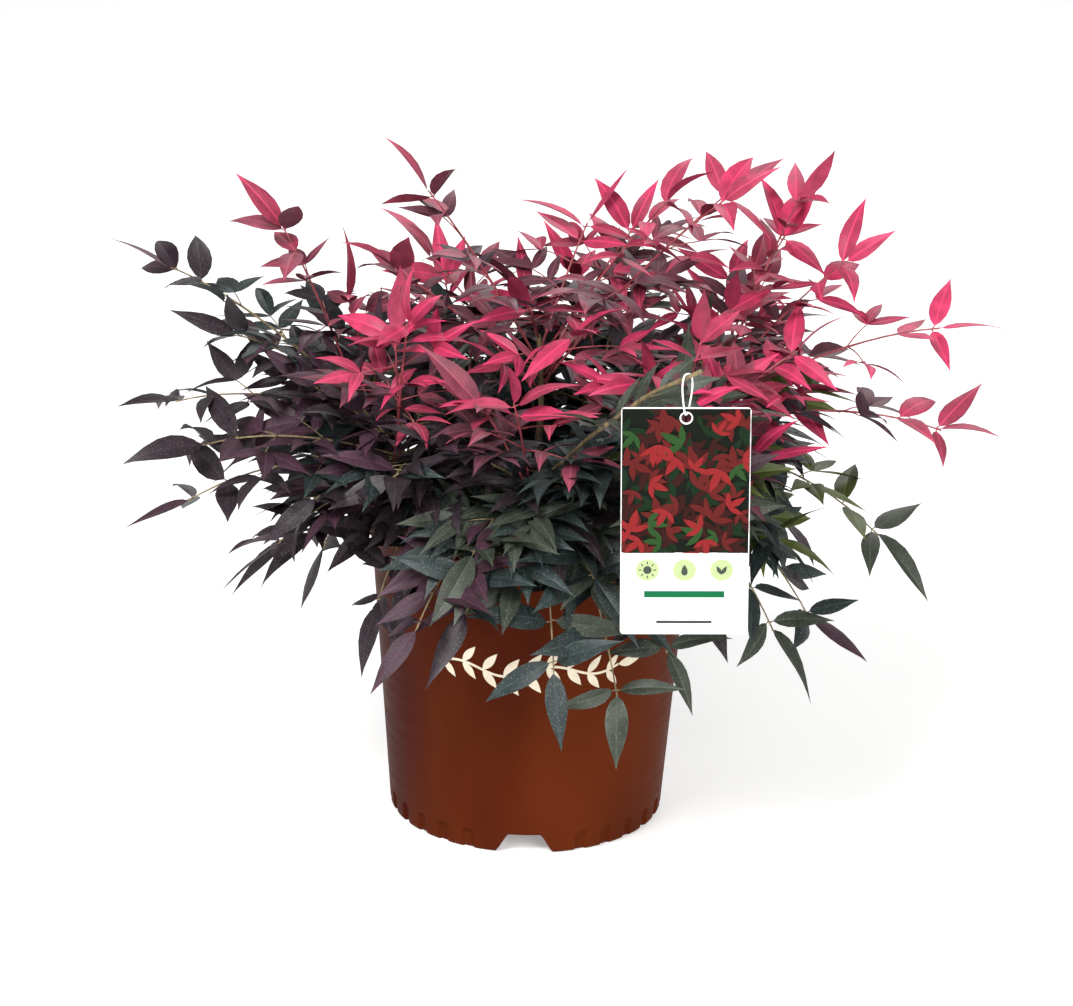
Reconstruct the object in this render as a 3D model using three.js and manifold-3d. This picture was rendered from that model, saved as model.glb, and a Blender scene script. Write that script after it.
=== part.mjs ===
// A dwarf heavenly bamboo in its nursery pot: a clump of short canes that each carry a mass of compound
// leaves, planted in potting mix in a moulded plastic pot, with a printed label on a plastic loop.
// Millimetres, +Z up. The origin is the centre of the pot's underside, and the front faces -Y.

import * as THREE from "three";
import { mergeVertices } from "three/addons/utils/BufferGeometryUtils.js";
import Module from "manifold-3d";

const wasm = await Module();
wasm.setup();

// ---- Driving dimensions ------------------------------------------------------------------------

const CLEAR = 0.3; // the gap between two pieces that touch
const DEG = Math.PI / 180;

// The pot: a tapered wall, a raised floor with a round foot in the middle, and a collar at the rim.
const POT = {
  height: 222,
  footR: 97,
  collarLowZ: 208,
  collarLowR: 112.6,
  collarR: 115,
  rimR: 116.5,
  rimDrop: 3,
  wall: 2,
  skirtWall: 4.5,
  floorLowZ: 14,
  floorT: 2.5,
  padR: 28,
  padTopR: 31,
  edgeRound: 3,
  sides: 36,
};
const NOTCH = { count: 3, topHalf: 11.2, footHalf: 20.7, height: 14.2, frontAngle: -90 };
const FLUTE = { pitch: 12, perBay: 7, width: 8, height: 15, depth: 2.2, archSides: 3 };

const SOIL = { topZ: 202, edgeZ: 197, flatR: 62, sides: 36 };

// Canes: rings of them, by the radius at the foot and at the tip. Thick is the radius at the foot.
const CANE_RINGS = [
  { name: "middle", count: 1, footR: 3, tipR: 9, tipZ: 285, thick: 4.6, firstAngle: 60 },
  { name: "side", count: 7, footR: 26, tipR: 60, tipZ: 256, thick: 4.2, firstAngle: -39 },
];
const CANE = { tipShare: 0.5, flare: 1.3, joints: [-0.08, 0, 0.1, 0.4, 0.7, 1], sides: 6 };

// Masses: where the heart of the masses of each ring lies. A stem grows from the cane towards it.
const HEARTS = {
  middle: { r: 0, z: 390 },
  side: { r: 165, z: 285 },
};
const STEM = { reach: 0.6, footR: 2.1, tipR: 1.6, joints: [0, 0.35, 0.7, 1], first: 0.15, last: 0.97 };

// The crown's outline, as reach from a point in the middle, by elevation.
const CROWN = {
  x: 8,
  z: 235,
  elevations: [-40, -20, 0, 20, 45, 65, 90],
  reaches: [212, 262, 292, 302, 288, 236, 200],
  depth: 0.1, // share by which front and back reach less
};

// The longest fronds, as [azimuth, elevation, reach].
const LEADERS = [
  [-174, 15, 312],
  [176, 30, 350],
  [180, 27, 287],
  [172, 44, 306],
  [-166, 69, 282],
  [-160, 13, 299],
  [-157, 5, 309],
  [-151, -2, 252],
  [-138, -18, 205],
  [-4, 26, 346],
  [-11, 14, 331],
  [-2, -6, 284],
  [-14, -21, 254],
  [-33, -18, 246],
  [-60, -20, 228],
  [-72, -28, 240],
  [-87, -20, 236],
  [-106, -8, 228],
  [-116, -12, 240],
  [5, 51, 320],
  [18, 58, 292],
  [12, 47, 292],
  [-20, 69, 282],
  [40, 67, 240],
  [62, 73, 236],
  [-5, 41, 316],
  [-165, 57, 246],
  [-30, 60, 314],
];
// The frond that carries the label.
const LABEL_FROND = [-66.6, 33.4, 342];

// The other fronds are spread evenly: over the crown, clear of the longest ones, in an apron of short
// fronds that hang over the rim of the pot, and in a belt of short ones round the shoulder of the crown.
const SPREADS = [
  { count: 46, low: -16, high: 90, least: 0.6, most: 0.92, apart: 10, seed: 41 },
  { count: 15, low: -16, high: 6, least: 0.64, most: 0.8, apart: 0, seed: 7 },
  { count: 18, low: 14, high: 50, least: 0.66, most: 0.84, apart: 0, seed: 5 },
];
const GOLDEN_TURN = 137.508;
const PAST_RIM = 176; // the least distance from the axis that a low frond reaches

// A frond: a stalk that bows over, with opposite leaves at its nodes and three at its end. Low fronds
// bow the most, and their leaves lift back towards the level and face outwards. It goes by elevation,
// lowest to highest.
const FROND = {
  elevations: [-33, 90],
  nodes: [0.4, 0.62, 0.82],
  nodeLeaf: [1.2, 1.08, 0.92],
  endLeaf: 0.88,
  endTurn: 62,
  footR: 1.6,
  tipR: 1.2,
  joints: [0, 0.32, 0.66, 1],
  crest: 0.6,
  lowBow: 0.36,
  highBow: 0.03,
  lowLift: 0.3,
  highLift: -0.05,
  lowTilt: 3.9,
};
const LEAF = {
  length: 67,
  ratio: 0.36,
  widest: 0.42,
  thick: 0.026,
  sink: 0.5,
  spread: 66,
  tests: [0.1, 0.2, 0.31, 0.42, 0.54, 0.66, 0.77, 0.88, 1], // where a leaf is tested for room
  tries: 12, // a leaf that does not fit is tried again: a little smaller, turned and rolled
  shrink: 0.025,
  turnOn: 5,
  rollOn: 0.16,
  slip: 0.02, // the spreads of the draws: where it roots, and how it turns, lifts, tilts and rolls
  swing: 14,
  lifts: [-0.25, 0.2],
  tilts: [-0.25, 0.45],
  frontLean: 0.25, // how far the faces lean towards the front, where the light is
  rolls: [-0.5, 0.5],
  sizes: [0.92, 1.08],
  flatten: 0.5, // the share of its stalk's climb that a side leaf keeps
};

const TAG = {
  width: 83,
  height: 155,
  thick: 0.7,
  holeR: 3.5,
  holeSides: 10,
  holeDrop: 7,
  slack: 0.55,
  corner: 2.5,
  at: 0.91, // how far along its frond it hangs
  lean: -1.3,
};
const LOOP = { strandR: 0.6, half: 4, height: 27, steps: 28, sides: 5, footTurn: 62 };
const KEEP_OFF = { cell: 0.5, pot: 4, limb: 1.2, tagFront: 120, tagBack: 3, tagSide: 5 };

// ---- Small helpers -----------------------------------------------------------------------------

// A seeded stream of numbers from 0 to 1.
function stream(seed) {
  let state = seed >>> 0;
  return () => {
    state = (state + 0x6d2b79f5) >>> 0;
    let t = Math.imul(state ^ (state >>> 15), state | 1);
    t ^= t + Math.imul(t ^ (t >>> 7), t | 61);
    return ((t ^ (t >>> 14)) >>> 0) / 4294967296;
  };
}

const mix = (a, b, t) => a + (b - a) * t;
const polar = (r, degrees, z) =>
  new THREE.Vector3(r * Math.cos(degrees * DEG), r * Math.sin(degrees * DEG), z);
const heading = (azimuth, elevation) =>
  polar(Math.cos(elevation * DEG), azimuth, Math.sin(elevation * DEG));
const UP = new THREE.Vector3(0, 0, 1);
const SIDEWAYS = new THREE.Vector3(0.31, 0.17, 0.05).normalize();

function solidOf(geometry) {
  const bare = geometry.clone();
  bare.deleteAttribute("normal");
  bare.deleteAttribute("uv");
  const merged = mergeVertices(bare, 1e-3);
  return new wasm.Manifold(
    new wasm.Mesh({
      numProp: 3,
      vertProperties: new Float32Array(merged.attributes.position.array),
      triVerts: new Uint32Array(merged.index.array),
    }),
  );
}

function solidFrom(points, faces) {
  return new wasm.Manifold(
    new wasm.Mesh({
      numProp: 3,
      vertProperties: new Float32Array(points.flatMap((p) => [p.x, p.y, p.z])),
      triVerts: new Uint32Array(faces.flat()),
    }),
  );
}

function geometryOf(solid) {
  const { vertProperties, triVerts } = solid.getMesh();
  const geometry = new THREE.BufferGeometry();
  geometry.setAttribute("position", new THREE.BufferAttribute(vertProperties, 3));
  geometry.setIndex(new THREE.BufferAttribute(triVerts, 1));
  geometry.computeVertexNormals();
  return geometry;
}

// Joins solids into one body: hollows that the joining sealed are filled and loose scraps dropped.
function fuse(solids) {
  const bodies = wasm.Manifold.union(solids).simplify(0.01).decompose();
  return bodies.reduce((a, b) => (b.volume() > a.volume() ? b : a));
}

// A limb of the given number of sides along a curve, with a radius at each joint.
function limb(curve, joints, radii, sides) {
  const rings = joints.map((t, i) => {
    const p = curve.getPoint(t);
    const along = curve.getTangent(Math.min(1, Math.max(0, t)));
    const across = new THREE.Vector3().crossVectors(along, SIDEWAYS).normalize();
    const third = new THREE.Vector3().crossVectors(across, along);
    return Array.from({ length: sides }, (_, k) => {
      const a = (k / sides) * 2 * Math.PI;
      return p
        .clone()
        .addScaledVector(across, radii[i] * Math.cos(a))
        .addScaledVector(third, radii[i] * Math.sin(a));
    });
  });
  const faces = [];
  for (let i = 0; i < rings.length - 1; i++)
    for (let k = 0; k < sides; k++) {
      const [a, b] = [i * sides + k, i * sides + ((k + 1) % sides)];
      faces.push([a, a + sides, b], [b, a + sides, b + sides]);
    }
  const last = (rings.length - 1) * sides;
  for (let k = 1; k < sides - 1; k++)
    faces.push([0, k, k + 1], [last, last + k + 1, last + k]);
  return solidFrom(rings.flat(), faces);
}

// The least distance between segments a-b and c-d.
function segmentGap(a, b, c, d) {
  const [u, v, w] = [b.clone().sub(a), d.clone().sub(c), a.clone().sub(c)];
  const [uu, uv, vv, uw, vw] = [u.dot(u), u.dot(v), v.dot(v), u.dot(w), v.dot(w)];
  const det = uu * vv - uv * uv;
  const clamp = (t) => Math.min(1, Math.max(0, t));
  let s = det > 1e-9 ? clamp((uv * vw - vv * uw) / det) : 0;
  const t = clamp((uv * s + vw) / Math.max(vv, 1e-9));
  s = clamp((uv * t - uw) / Math.max(uu, 1e-9));
  return w.addScaledVector(u, s).addScaledVector(v, -t).length();
}

// ---- Pot and soil ------------------------------------------------------------------------------

const wallR = (z) => mix(POT.footR, POT.collarLowR, z / POT.collarLowZ);
const lathe = (profile, sides) =>
  new THREE.LatheGeometry(profile.map(([r, z]) => new THREE.Vector2(r, z)), sides).rotateX(
    Math.PI / 2,
  );

function archShape({ width, height, archSides }) {
  const half = width / 2;
  const shape = new THREE.Shape([new THREE.Vector2(-half, -1), new THREE.Vector2(half, -1)]);
  for (let i = 0; i <= archSides; i++) {
    const a = (i / archSides) * Math.PI;
    shape.lineTo(half * Math.cos(a), height - half + half * Math.sin(a));
  }
  return shape;
}

// A cutter: a shape in the plane of the wall at an angle, from radius near to radius far.
function wallCutter(shape, degrees, near, far) {
  return solidOf(
    new THREE.ExtrudeGeometry(shape, { depth: far - near, bevelEnabled: false })
      .rotateX(Math.PI / 2)
      .rotateZ(Math.PI)
      .translate(0, near, 0)
      .rotateZ((degrees - 90) * DEG),
  );
}

function potSolid() {
  const floorZ = POT.floorLowZ + POT.floorT;
  const skirtR = POT.footR - POT.skirtWall;
  const innerR = (z) => wallR(z) - POT.wall;
  const body = solidOf(
    lathe(
      [
        [0, 0],
        [POT.padR, 0],
        [POT.padTopR, POT.floorLowZ],
        [skirtR, POT.floorLowZ],
        [skirtR, 0],
        [POT.footR - POT.edgeRound, 0],
        [wallR(POT.edgeRound), POT.edgeRound],
        [POT.collarLowR, POT.collarLowZ],
        [POT.collarR, POT.collarLowZ],
        [POT.collarR + 0.4, POT.height - POT.rimDrop],
        [POT.rimR, POT.height - POT.rimDrop],
        [POT.rimR, POT.height],
        [innerR(POT.height), POT.height],
        [innerR(floorZ), floorZ],
        [POT.padTopR - 1.6, floorZ],
        [POT.padR - 1.6, POT.floorT],
        [0, POT.floorT],
      ],
      POT.sides,
    ),
  );
  const notchShape = new THREE.Shape([
    new THREE.Vector2(-NOTCH.footHalf, -0.01),
    new THREE.Vector2(NOTCH.footHalf, -0.01),
    new THREE.Vector2(NOTCH.topHalf, NOTCH.height - 0.5),
    new THREE.Vector2(-NOTCH.topHalf, NOTCH.height - 0.5),
  ]);
  const cutters = [];
  for (let bay = 0; bay < NOTCH.count; bay++) {
    const notchAngle = NOTCH.frontAngle + (bay * 360) / NOTCH.count;
    cutters.push(wallCutter(notchShape, notchAngle, skirtR - 5, POT.footR + 5));
    for (let i = 0; i < FLUTE.perBay; i++)
      cutters.push(
        wallCutter(
          archShape(FLUTE),
          notchAngle + (i + 2) * FLUTE.pitch,
          POT.footR - FLUTE.depth,
          POT.footR + 5,
        ),
      );
  }
  return body.subtract(wasm.Manifold.union(cutters));
}

function soilSolid() {
  const floorZ = POT.floorLowZ + POT.floorT + CLEAR;
  const r = (z) => wallR(z) - POT.wall - 2 * CLEAR;
  return solidOf(
    lathe(
      [
        [0, POT.floorT + CLEAR],
        [POT.padR - 1.6 - 2 * CLEAR, POT.floorT + CLEAR],
        [POT.padTopR - 1.6 - 2 * CLEAR, floorZ],
        [r(floorZ), floorZ],
        [r(SOIL.edgeZ), SOIL.edgeZ],
        [SOIL.flatR, SOIL.topZ],
        [0, SOIL.topZ],
      ],
      SOIL.sides,
    ),
  );
}

// ---- Canes -------------------------------------------------------------------------------------

// Each cane leans out as it rises, with a slight bend, and flares at its foot on the soil.
function caneList() {
  return CANE_RINGS.flatMap((ring) =>
    Array.from({ length: ring.count }, (_, i) => {
      const angle = ring.firstAngle + (i * 360) / ring.count;
      const foot = polar(ring.footR, angle - 6, SOIL.topZ + CLEAR);
      const tip = polar(ring.tipR, angle, ring.tipZ);
      const mid = foot.clone().lerp(tip, 0.5).add(polar(-0.06 * ring.tipR, angle, 3));
      const curve = new THREE.QuadraticBezierCurve3(foot, mid, tip);
      const radii = CANE.joints.map((t) => ring.thick * mix(1, CANE.tipShare, t));
      radii[1] *= CANE.flare;
      return {
        ring: ring.name,
        name: ring.count > 1 ? `${ring.name}_${i + 1}` : ring.name,
        angle,
        curve,
        radii,
        points: CANE.joints.map((t) => curve.getPoint(t)),
      };
    }),
  );
}

// The cane's foot is cut flat, level with the soil.
const caneSolid = (cane) =>
  limb(cane.curve, CANE.joints, cane.radii, CANE.sides).trimByPlane([0, 0, 1], SOIL.topZ + CLEAR);

// ---- Masses of leaves --------------------------------------------------------------------------

function crownReach(azimuth, elevation) {
  const { elevations, reaches, depth } = CROWN;
  const e = Math.min(90, Math.max(elevations[0], elevation));
  const i = Math.max(1, elevations.findIndex((v) => v >= e));
  const t = (e - elevations[i - 1]) / (elevations[i] - elevations[i - 1]);
  const less = depth * Math.cos(e * DEG) * Math.sin(azimuth * DEG) ** 2;
  return mix(reaches[i - 1], reaches[i], t) * (1 - less);
}

const crownMiddle = new THREE.Vector3(CROWN.x, 0, CROWN.z);
const crownPoint = (azimuth, elevation, reach) =>
  crownMiddle.clone().addScaledVector(heading(azimuth, elevation), reach);

// A mass's stem carries on from its cane, 0.3 mm clear, and bends towards the heart.
function massList(canes) {
  return canes.map((cane) => {
    const heart = polar(HEARTS[cane.ring].r, cane.angle, HEARTS[cane.ring].z);
    const onward = cane.curve.getTangent(1);
    const foot = cane.curve.getPoint(1).addScaledVector(onward, CLEAR);
    const top = foot.clone().lerp(heart, STEM.reach);
    const bend = foot.clone().addScaledVector(onward, 0.4 * foot.distanceTo(top));
    const stem = new THREE.QuadraticBezierCurve3(foot, bend, top);
    return { name: `leaves_${cane.name}`, ring: cane.ring, heart, stem };
  });
}

// How far a point is inside a mass's own space: the points nearer its heart than any other heart.
function roomIn(mass, masses, p) {
  const own = p.distanceToSquared(mass.heart);
  return Math.min(
    ...masses
      .filter((m) => m !== mass)
      .map((m) => (p.distanceToSquared(m.heart) - own) / (2 * m.heart.distanceTo(mass.heart))),
  );
}

// Every frond as [azimuth, elevation, reach]: the label's, the longest ones, then the even spreads.
function frondDirections() {
  const chosen = [LABEL_FROND, ...LEADERS];
  const taken = chosen.map(([azimuth, elevation]) => heading(azimuth, elevation));
  const rest = SPREADS.flatMap(({ count, low, high, least, most, apart, seed }) => {
    const rnd = stream(seed);
    const fronds = Array.from({ length: count }, (_, i) => {
      const sine = mix(Math.sin(low * DEG), Math.sin(high * DEG), (i + 0.5) / count);
      const elevation = Math.asin(sine) / DEG + 6 * (rnd() - 0.5);
      const azimuth = ((i * GOLDEN_TURN) % 360) - 180 + 10 * (rnd() - 0.5);
      const share = mix(least, most, Math.sqrt(rnd()));
      const past = elevation < 0 ? PAST_RIM / Math.cos(elevation * DEG) : 0;
      return [azimuth, elevation, Math.max(past, share * crownReach(azimuth, elevation))];
    });
    return fronds.filter(([azimuth, elevation]) =>
      taken.every((d) => d.angleTo(heading(azimuth, elevation)) > apart * DEG),
    );
  });
  return [...chosen, ...rest];
}

// The fronds of a mass are those that end in its space. The lowest grow nearest the stem's foot.
function frondList(mass, masses) {
  const endOf = ([azimuth, elevation, reach]) =>
    crownPoint(azimuth, elevation, reach - 0.8 * FROND.endLeaf * LEAF.length);
  const own = frondDirections().filter((f) => roomIn(mass, masses, endOf(f)) > 0);
  own.sort((a, b) => a[1] - b[1]);
  return own.map((direction, i) => {
    const start = mass.stem.getPoint(mix(STEM.first, STEM.last, (i + 1) / own.length));
    const end = endOf(direction);
    const [lowest, highest] = FROND.elevations;
    const climb = Math.sqrt((direction[1] - lowest) / (highest - lowest));
    const bow = mix(FROND.highBow, FROND.lowBow, (1 - climb) ** 2);
    const lift = mix(FROND.lowLift, FROND.highLift, climb);
    const tilt = FROND.lowTilt * (1 - climb) ** 4;
    const rise = 2 * bow * start.distanceTo(end);
    const crest = start.clone().lerp(end, FROND.crest).addScaledVector(UP, rise);
    const curve = new THREE.QuadraticBezierCurve3(start, crest, end);
    const isLabelled = direction[0] === LABEL_FROND[0] && direction[1] === LABEL_FROND[1];
    const points = FROND.joints.map((t) => curve.getPoint(t));
    const seed = Math.round(1000 * (180 + direction[0]));
    return { direction, curve, points, lift, tilt, isLabelled, seed };
  });
}

// The point at a share of the way along a frond's stalk, which is straight between its joints.
function onStalk(frond, t) {
  const i = Math.max(1, FROND.joints.findIndex((joint) => joint >= t));
  const [from, to] = [FROND.joints[i - 1], FROND.joints[i]];
  return frond.points[i - 1].clone().lerp(frond.points[i], (t - from) / (to - from));
}

// One leaf: a kite folded down along its midrib, with its root sunk in the stalk.
const BLADE_EDGES = [[0, 1], [0, 2], [0, 3], [1, 2], [1, 3], [2, 3]];
const BLADE_FACES = [[0, 1, 2], [0, 2, 3], [0, 3, 1], [1, 3, 2]];

function leafBlade(root, along, up, length) {
  const side = new THREE.Vector3().crossVectors(up, along).normalize();
  const place = (x, y, z) =>
    root.clone().addScaledVector(along, x).addScaledVector(side, y).addScaledVector(up, z);
  const [mid, half, drop] = [LEAF.widest * length, (LEAF.ratio * length) / 2, -LEAF.thick * length];
  const points = [place(-LEAF.sink, 0, 0), place(mid, -half, drop), place(length, 0, 0)];
  points.push(place(mid, half, drop));
  return { points, box: new THREE.Box3().setFromPoints(points) };
}

// Whether the straight line from a to b runs through any face of a blade.
function pierces(a, b, blade) {
  const reach = a.distanceTo(b);
  const ray = new THREE.Ray(a, b.clone().sub(a).divideScalar(reach));
  const hit = new THREE.Vector3();
  return BLADE_FACES.some((face) => {
    const found = ray.intersectTriangle(...face.map((i) => blade.points[i]), false, hit);
    return found && hit.distanceTo(a) < reach;
  });
}

// A stalk is tested along its axis and along lines above and below it.
const stalkPierces = (frond, blade) =>
  [-FROND.footR, 0, FROND.footR].some((z) =>
    frond.points
      .slice(1)
      .some((p, i) =>
        pierces(
          frond.points[i].clone().addScaledVector(UP, z),
          p.clone().addScaledVector(UP, z),
          blade,
        ),
      ),
  );

const crosses = (blade, other) =>
  blade.box.intersectsBox(other.box) &&
  (BLADE_EDGES.some(([i, j]) => pierces(blade.points[i], blade.points[j], other)) ||
    BLADE_EDGES.some(([i, j]) => pierces(other.points[i], other.points[j], blade)));

// The leaves of a frond: where each is rooted, the way it points and turns, and its length.
function leavesOf(frond) {
  const rnd = stream(frond.seed);
  const leaves = [];
  const add = (t, turn, share) =>
    leaves.push({
      t: t + LEAF.slip * (rnd() - 0.5),
      turn: turn + LEAF.swing * (rnd() - 0.5),
      climb: turn === 0 ? 1 : LEAF.flatten,
      lift: frond.lift + mix(...LEAF.lifts, rnd()),
      tilt: frond.tilt + mix(...LEAF.tilts, rnd()),
      roll: mix(...LEAF.rolls, rnd()),
      length: share * LEAF.length * mix(...LEAF.sizes, rnd()),
    });
  add(0.985, 0, FROND.endLeaf);
  add(0.97, FROND.endTurn, 0.9 * FROND.endLeaf);
  add(0.97, -FROND.endTurn, 0.9 * FROND.endLeaf);
  FROND.nodes.forEach((t, i) => {
    add(t, LEAF.spread, FROND.nodeLeaf[i]);
    add(t, -LEAF.spread, FROND.nodeLeaf[i]);
  });
  return leaves;
}

// The blade of a leaf at one of its tries.
function bladeOn(frond, leaf, tried) {
  const swing = tried % 2 ? tried : -tried;
  const turn = (leaf.turn + swing * LEAF.turnOn) * DEG;
  const along = frond.curve.getTangent(leaf.t);
  const side = new THREE.Vector3().crossVectors(UP, along).normalize();
  const out = along
    .multiplyScalar(Math.cos(turn))
    .addScaledVector(side, Math.sin(turn))
    .multiply(new THREE.Vector3(1, 1, leaf.climb))
    .addScaledVector(UP, leaf.lift)
    .normalize();
  const up = polar(leaf.tilt, frond.direction[0], 1);
  up.y -= LEAF.frontLean;
  up.addScaledVector(side, leaf.roll + swing * LEAF.rollOn);
  up.addScaledVector(out, -up.dot(out)).normalize();
  const length = leaf.length * (1 - tried * LEAF.shrink);
  return leafBlade(onStalk(frond, leaf.t), out, up, length);
}

const potKeeps = (p) =>
  p.z < POT.height + KEEP_OFF.pot && Math.hypot(p.x, p.y) < POT.rimR + KEEP_OFF.pot;

const inOwnSpace = (p, mass, world) =>
  roomIn(mass, world.masses, p) > KEEP_OFF.cell && !potKeeps(p);

const clearOfCanes = (a, b, reach, world) =>
  world.canes.every((cane) =>
    cane.points
      .slice(1)
      .every((p, i) => segmentGap(a, b, cane.points[i], p) > cane.radii[i] + reach + KEEP_OFF.limb),
  );

function stalkFits(frond, mass, world) {
  return frond.points
    .slice(1)
    .every(
      (p, i) =>
        [0, 0.2, 0.4, 0.6, 0.8].every((t) =>
          inOwnSpace(p.clone().lerp(frond.points[i], t), mass, world),
        ) &&
        clearOfCanes(frond.points[i], p, FROND.footR, world) &&
        (frond.isLabelled || !world.tagSpace.containsPoint(p)),
    );
}

function bladeFits(blade, frond, leaf, grown, mass, world) {
  const { points } = blade;
  const root = onStalk(frond, leaf.t);
  const half = points[3].clone().sub(points[1]).multiplyScalar(0.5);
  const tests = LEAF.tests.flatMap((s) => {
    const wide = Math.min(s / LEAF.widest, (1 - s) / (1 - LEAF.widest));
    const middle = root.clone().lerp(points[2], s);
    return [-wide, 0, wide].map((w) => middle.clone().addScaledVector(half, w));
  });
  return (
    tests.every((p) => inOwnSpace(p, mass, world) && !world.tagSpace.containsPoint(p)) &&
    clearOfCanes(root, points[2], 0.3 * LEAF.ratio * LEAF.length, world) &&
    !grown.blades.some((other) => crosses(blade, other)) &&
    !grown.fronds.some((other) => other !== frond && stalkPierces(other, blade))
  );
}

function massSolid(mass, world) {
  const stemRadii = STEM.joints.map((t) => mix(STEM.footR, STEM.tipR, t));
  const solids = [limb(mass.stem, STEM.joints, stemRadii, 5)];
  const radii = FROND.joints.map((t) => mix(FROND.footR, FROND.tipR, t));
  const fronds = frondList(mass, world.masses).filter((frond) => stalkFits(frond, mass, world));
  const grown = { blades: [], fronds };
  fronds.sort((a, b) => b.direction[2] - a.direction[2]);
  for (const frond of fronds) {
    solids.push(limb(frond.curve, FROND.joints, radii, 3));
    for (const leaf of leavesOf(frond)) {
      for (let tried = 0; tried < LEAF.tries; tried++) {
        const blade = bladeOn(frond, leaf, tried);
        if (bladeFits(blade, frond, leaf, grown, mass, world)) {
          grown.blades.push(blade);
          solids.push(solidFrom(blade.points, BLADE_FACES));
          break;
        }
      }
    }
  }
  return fuse(solids);
}

// ---- Label and its loop ------------------------------------------------------------------------

function labelPlace(masses) {
  const frond = masses.flatMap((mass) => frondList(mass, masses)).find((f) => f.isLabelled);
  const twigR = mix(FROND.footR, FROND.tipR, TAG.at);
  const apex = onStalk(frond, TAG.at);
  apex.z += twigR + CLEAR + LOOP.strandR;
  const strand = apex.clone().addScaledVector(UP, -LOOP.height);
  const hole = strand.clone().addScaledVector(UP, LOOP.strandR + TAG.slack - TAG.holeR);
  const topTurn = frond.direction[0] + 90;
  return { apex, strand, hole, topTurn, topZ: hole.z + TAG.holeDrop };
}

// A closed strand that passes over the stalk and turns as it falls, to pass through the hole.
function loopSolid(place) {
  const points = Array.from({ length: LOOP.steps }, (_, i) => {
    const a = (i / LOOP.steps) * 2 * Math.PI;
    const height = (1 + Math.sin(a)) / 2;
    const ease = height * height * (3 - 2 * height);
    const half = LOOP.half * Math.sign(Math.cos(a)) * Math.abs(Math.cos(a)) ** 0.6;
    return polar(half, mix(LOOP.footTurn, place.topTurn, ease), LOOP.height * height).add(
      place.strand,
    );
  });
  const curve = new THREE.CatmullRomCurve3(points, true);
  return solidOf(new THREE.TubeGeometry(curve, LOOP.steps, LOOP.strandR, LOOP.sides, true));
}

function tagSolid(place) {
  const { width, height, corner, thick, holeR, holeDrop } = TAG;
  const [x, y] = [width / 2 - corner, height / 2 - corner];
  const shape = new THREE.Shape();
  for (const [sx, sy, from] of [[1, 1, 0], [-1, 1, 90], [-1, -1, 180], [1, -1, 270]])
    shape.absarc(sx * x, sy * y, corner, from * DEG, (from + 90) * DEG, false);
  const hole = Array.from({ length: TAG.holeSides }, (_, i) =>
    new THREE.Vector2(0, holeR).rotateAround(new THREE.Vector2(), (-2 * Math.PI * i) / TAG.holeSides),
  );
  shape.holes.push(new THREE.Path(hole.map((p) => p.setY(p.y + height / 2 - holeDrop))));
  return solidOf(
    new THREE.ExtrudeGeometry(shape, { depth: thick, bevelEnabled: false, curveSegments: 3 })
      .translate(0, holeDrop - height / 2, -thick / 2)
      .rotateX(Math.PI / 2)
      .rotateY(TAG.lean * DEG)
      .translate(place.hole.x, place.hole.y, place.hole.z),
  );
}

function tagSpaceOf(place) {
  const { tagFront, tagBack, tagSide } = KEEP_OFF;
  const half = TAG.width / 2 + tagSide;
  return new THREE.Box3(
    new THREE.Vector3(place.hole.x - half, place.hole.y - tagFront, place.topZ - TAG.height - tagSide),
    new THREE.Vector3(place.hole.x + half, place.hole.y + tagBack, place.topZ + tagSide),
  ).expandByPoint(new THREE.Vector3(place.hole.x, place.hole.y, place.apex.z + tagSide));
}

// ---- The whole plant ---------------------------------------------------------------------------

const material = (color, roughness) =>
  new THREE.MeshStandardMaterial({ color, roughness, metalness: 0 });
const MATERIALS = {
  pot: material(0x6b2c18, 0.45),
  soil: material(0x2e2119, 0.95),
  cane: material(0x6e5648, 0.8),
  middle: material(0xb3324c, 0.55),
  side: material(0x55353c, 0.55),
  tag: material(0xf4f4f0, 0.4),
};

const plant = new THREE.Group();
function addPiece(name, solid, look) {
  const mesh = new THREE.Mesh(geometryOf(solid), look);
  mesh.name = name;
  plant.add(mesh);
}

const canes = caneList();
const masses = massList(canes);
const place = labelPlace(masses);
const world = { canes, masses, tagSpace: tagSpaceOf(place) };

addPiece("pot", potSolid(), MATERIALS.pot);
addPiece("soil", soilSolid(), MATERIALS.soil);
for (const cane of canes) addPiece(`cane_${cane.name}`, caneSolid(cane), MATERIALS.cane);
for (const mass of masses)
  addPiece(mass.name, massSolid(mass, world), MATERIALS[mass.ring]);
addPiece("label", tagSolid(place), MATERIALS.tag);
addPiece("label_loop", loopSolid(place), MATERIALS.tag);

export default plant;
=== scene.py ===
# %% [markdown]
# # A potted heavenly bamboo
# A dwarf heavenly bamboo is a clump of short woody canes. Each cane carries compound leaves: a thin stalk
# that bows outwards, pairs of small sprays along it, and three leaflets at every end. New leaves are
# crimson, and they ripen through rose and maroon to plum and a dark blue-green.
#
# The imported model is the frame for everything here. It has the pot, the soil, the canes and eight masses
# of coarse leaves. This lesson keeps its places and sizes, and grows fine foliage, bark, moulded plastic
# and a printed label over them. Blender works in metres, so sizes in millimetres are multiplied by MM.

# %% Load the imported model
import math

import bpy
import numpy as np
from mathutils import Euler, Matrix, Vector


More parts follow.
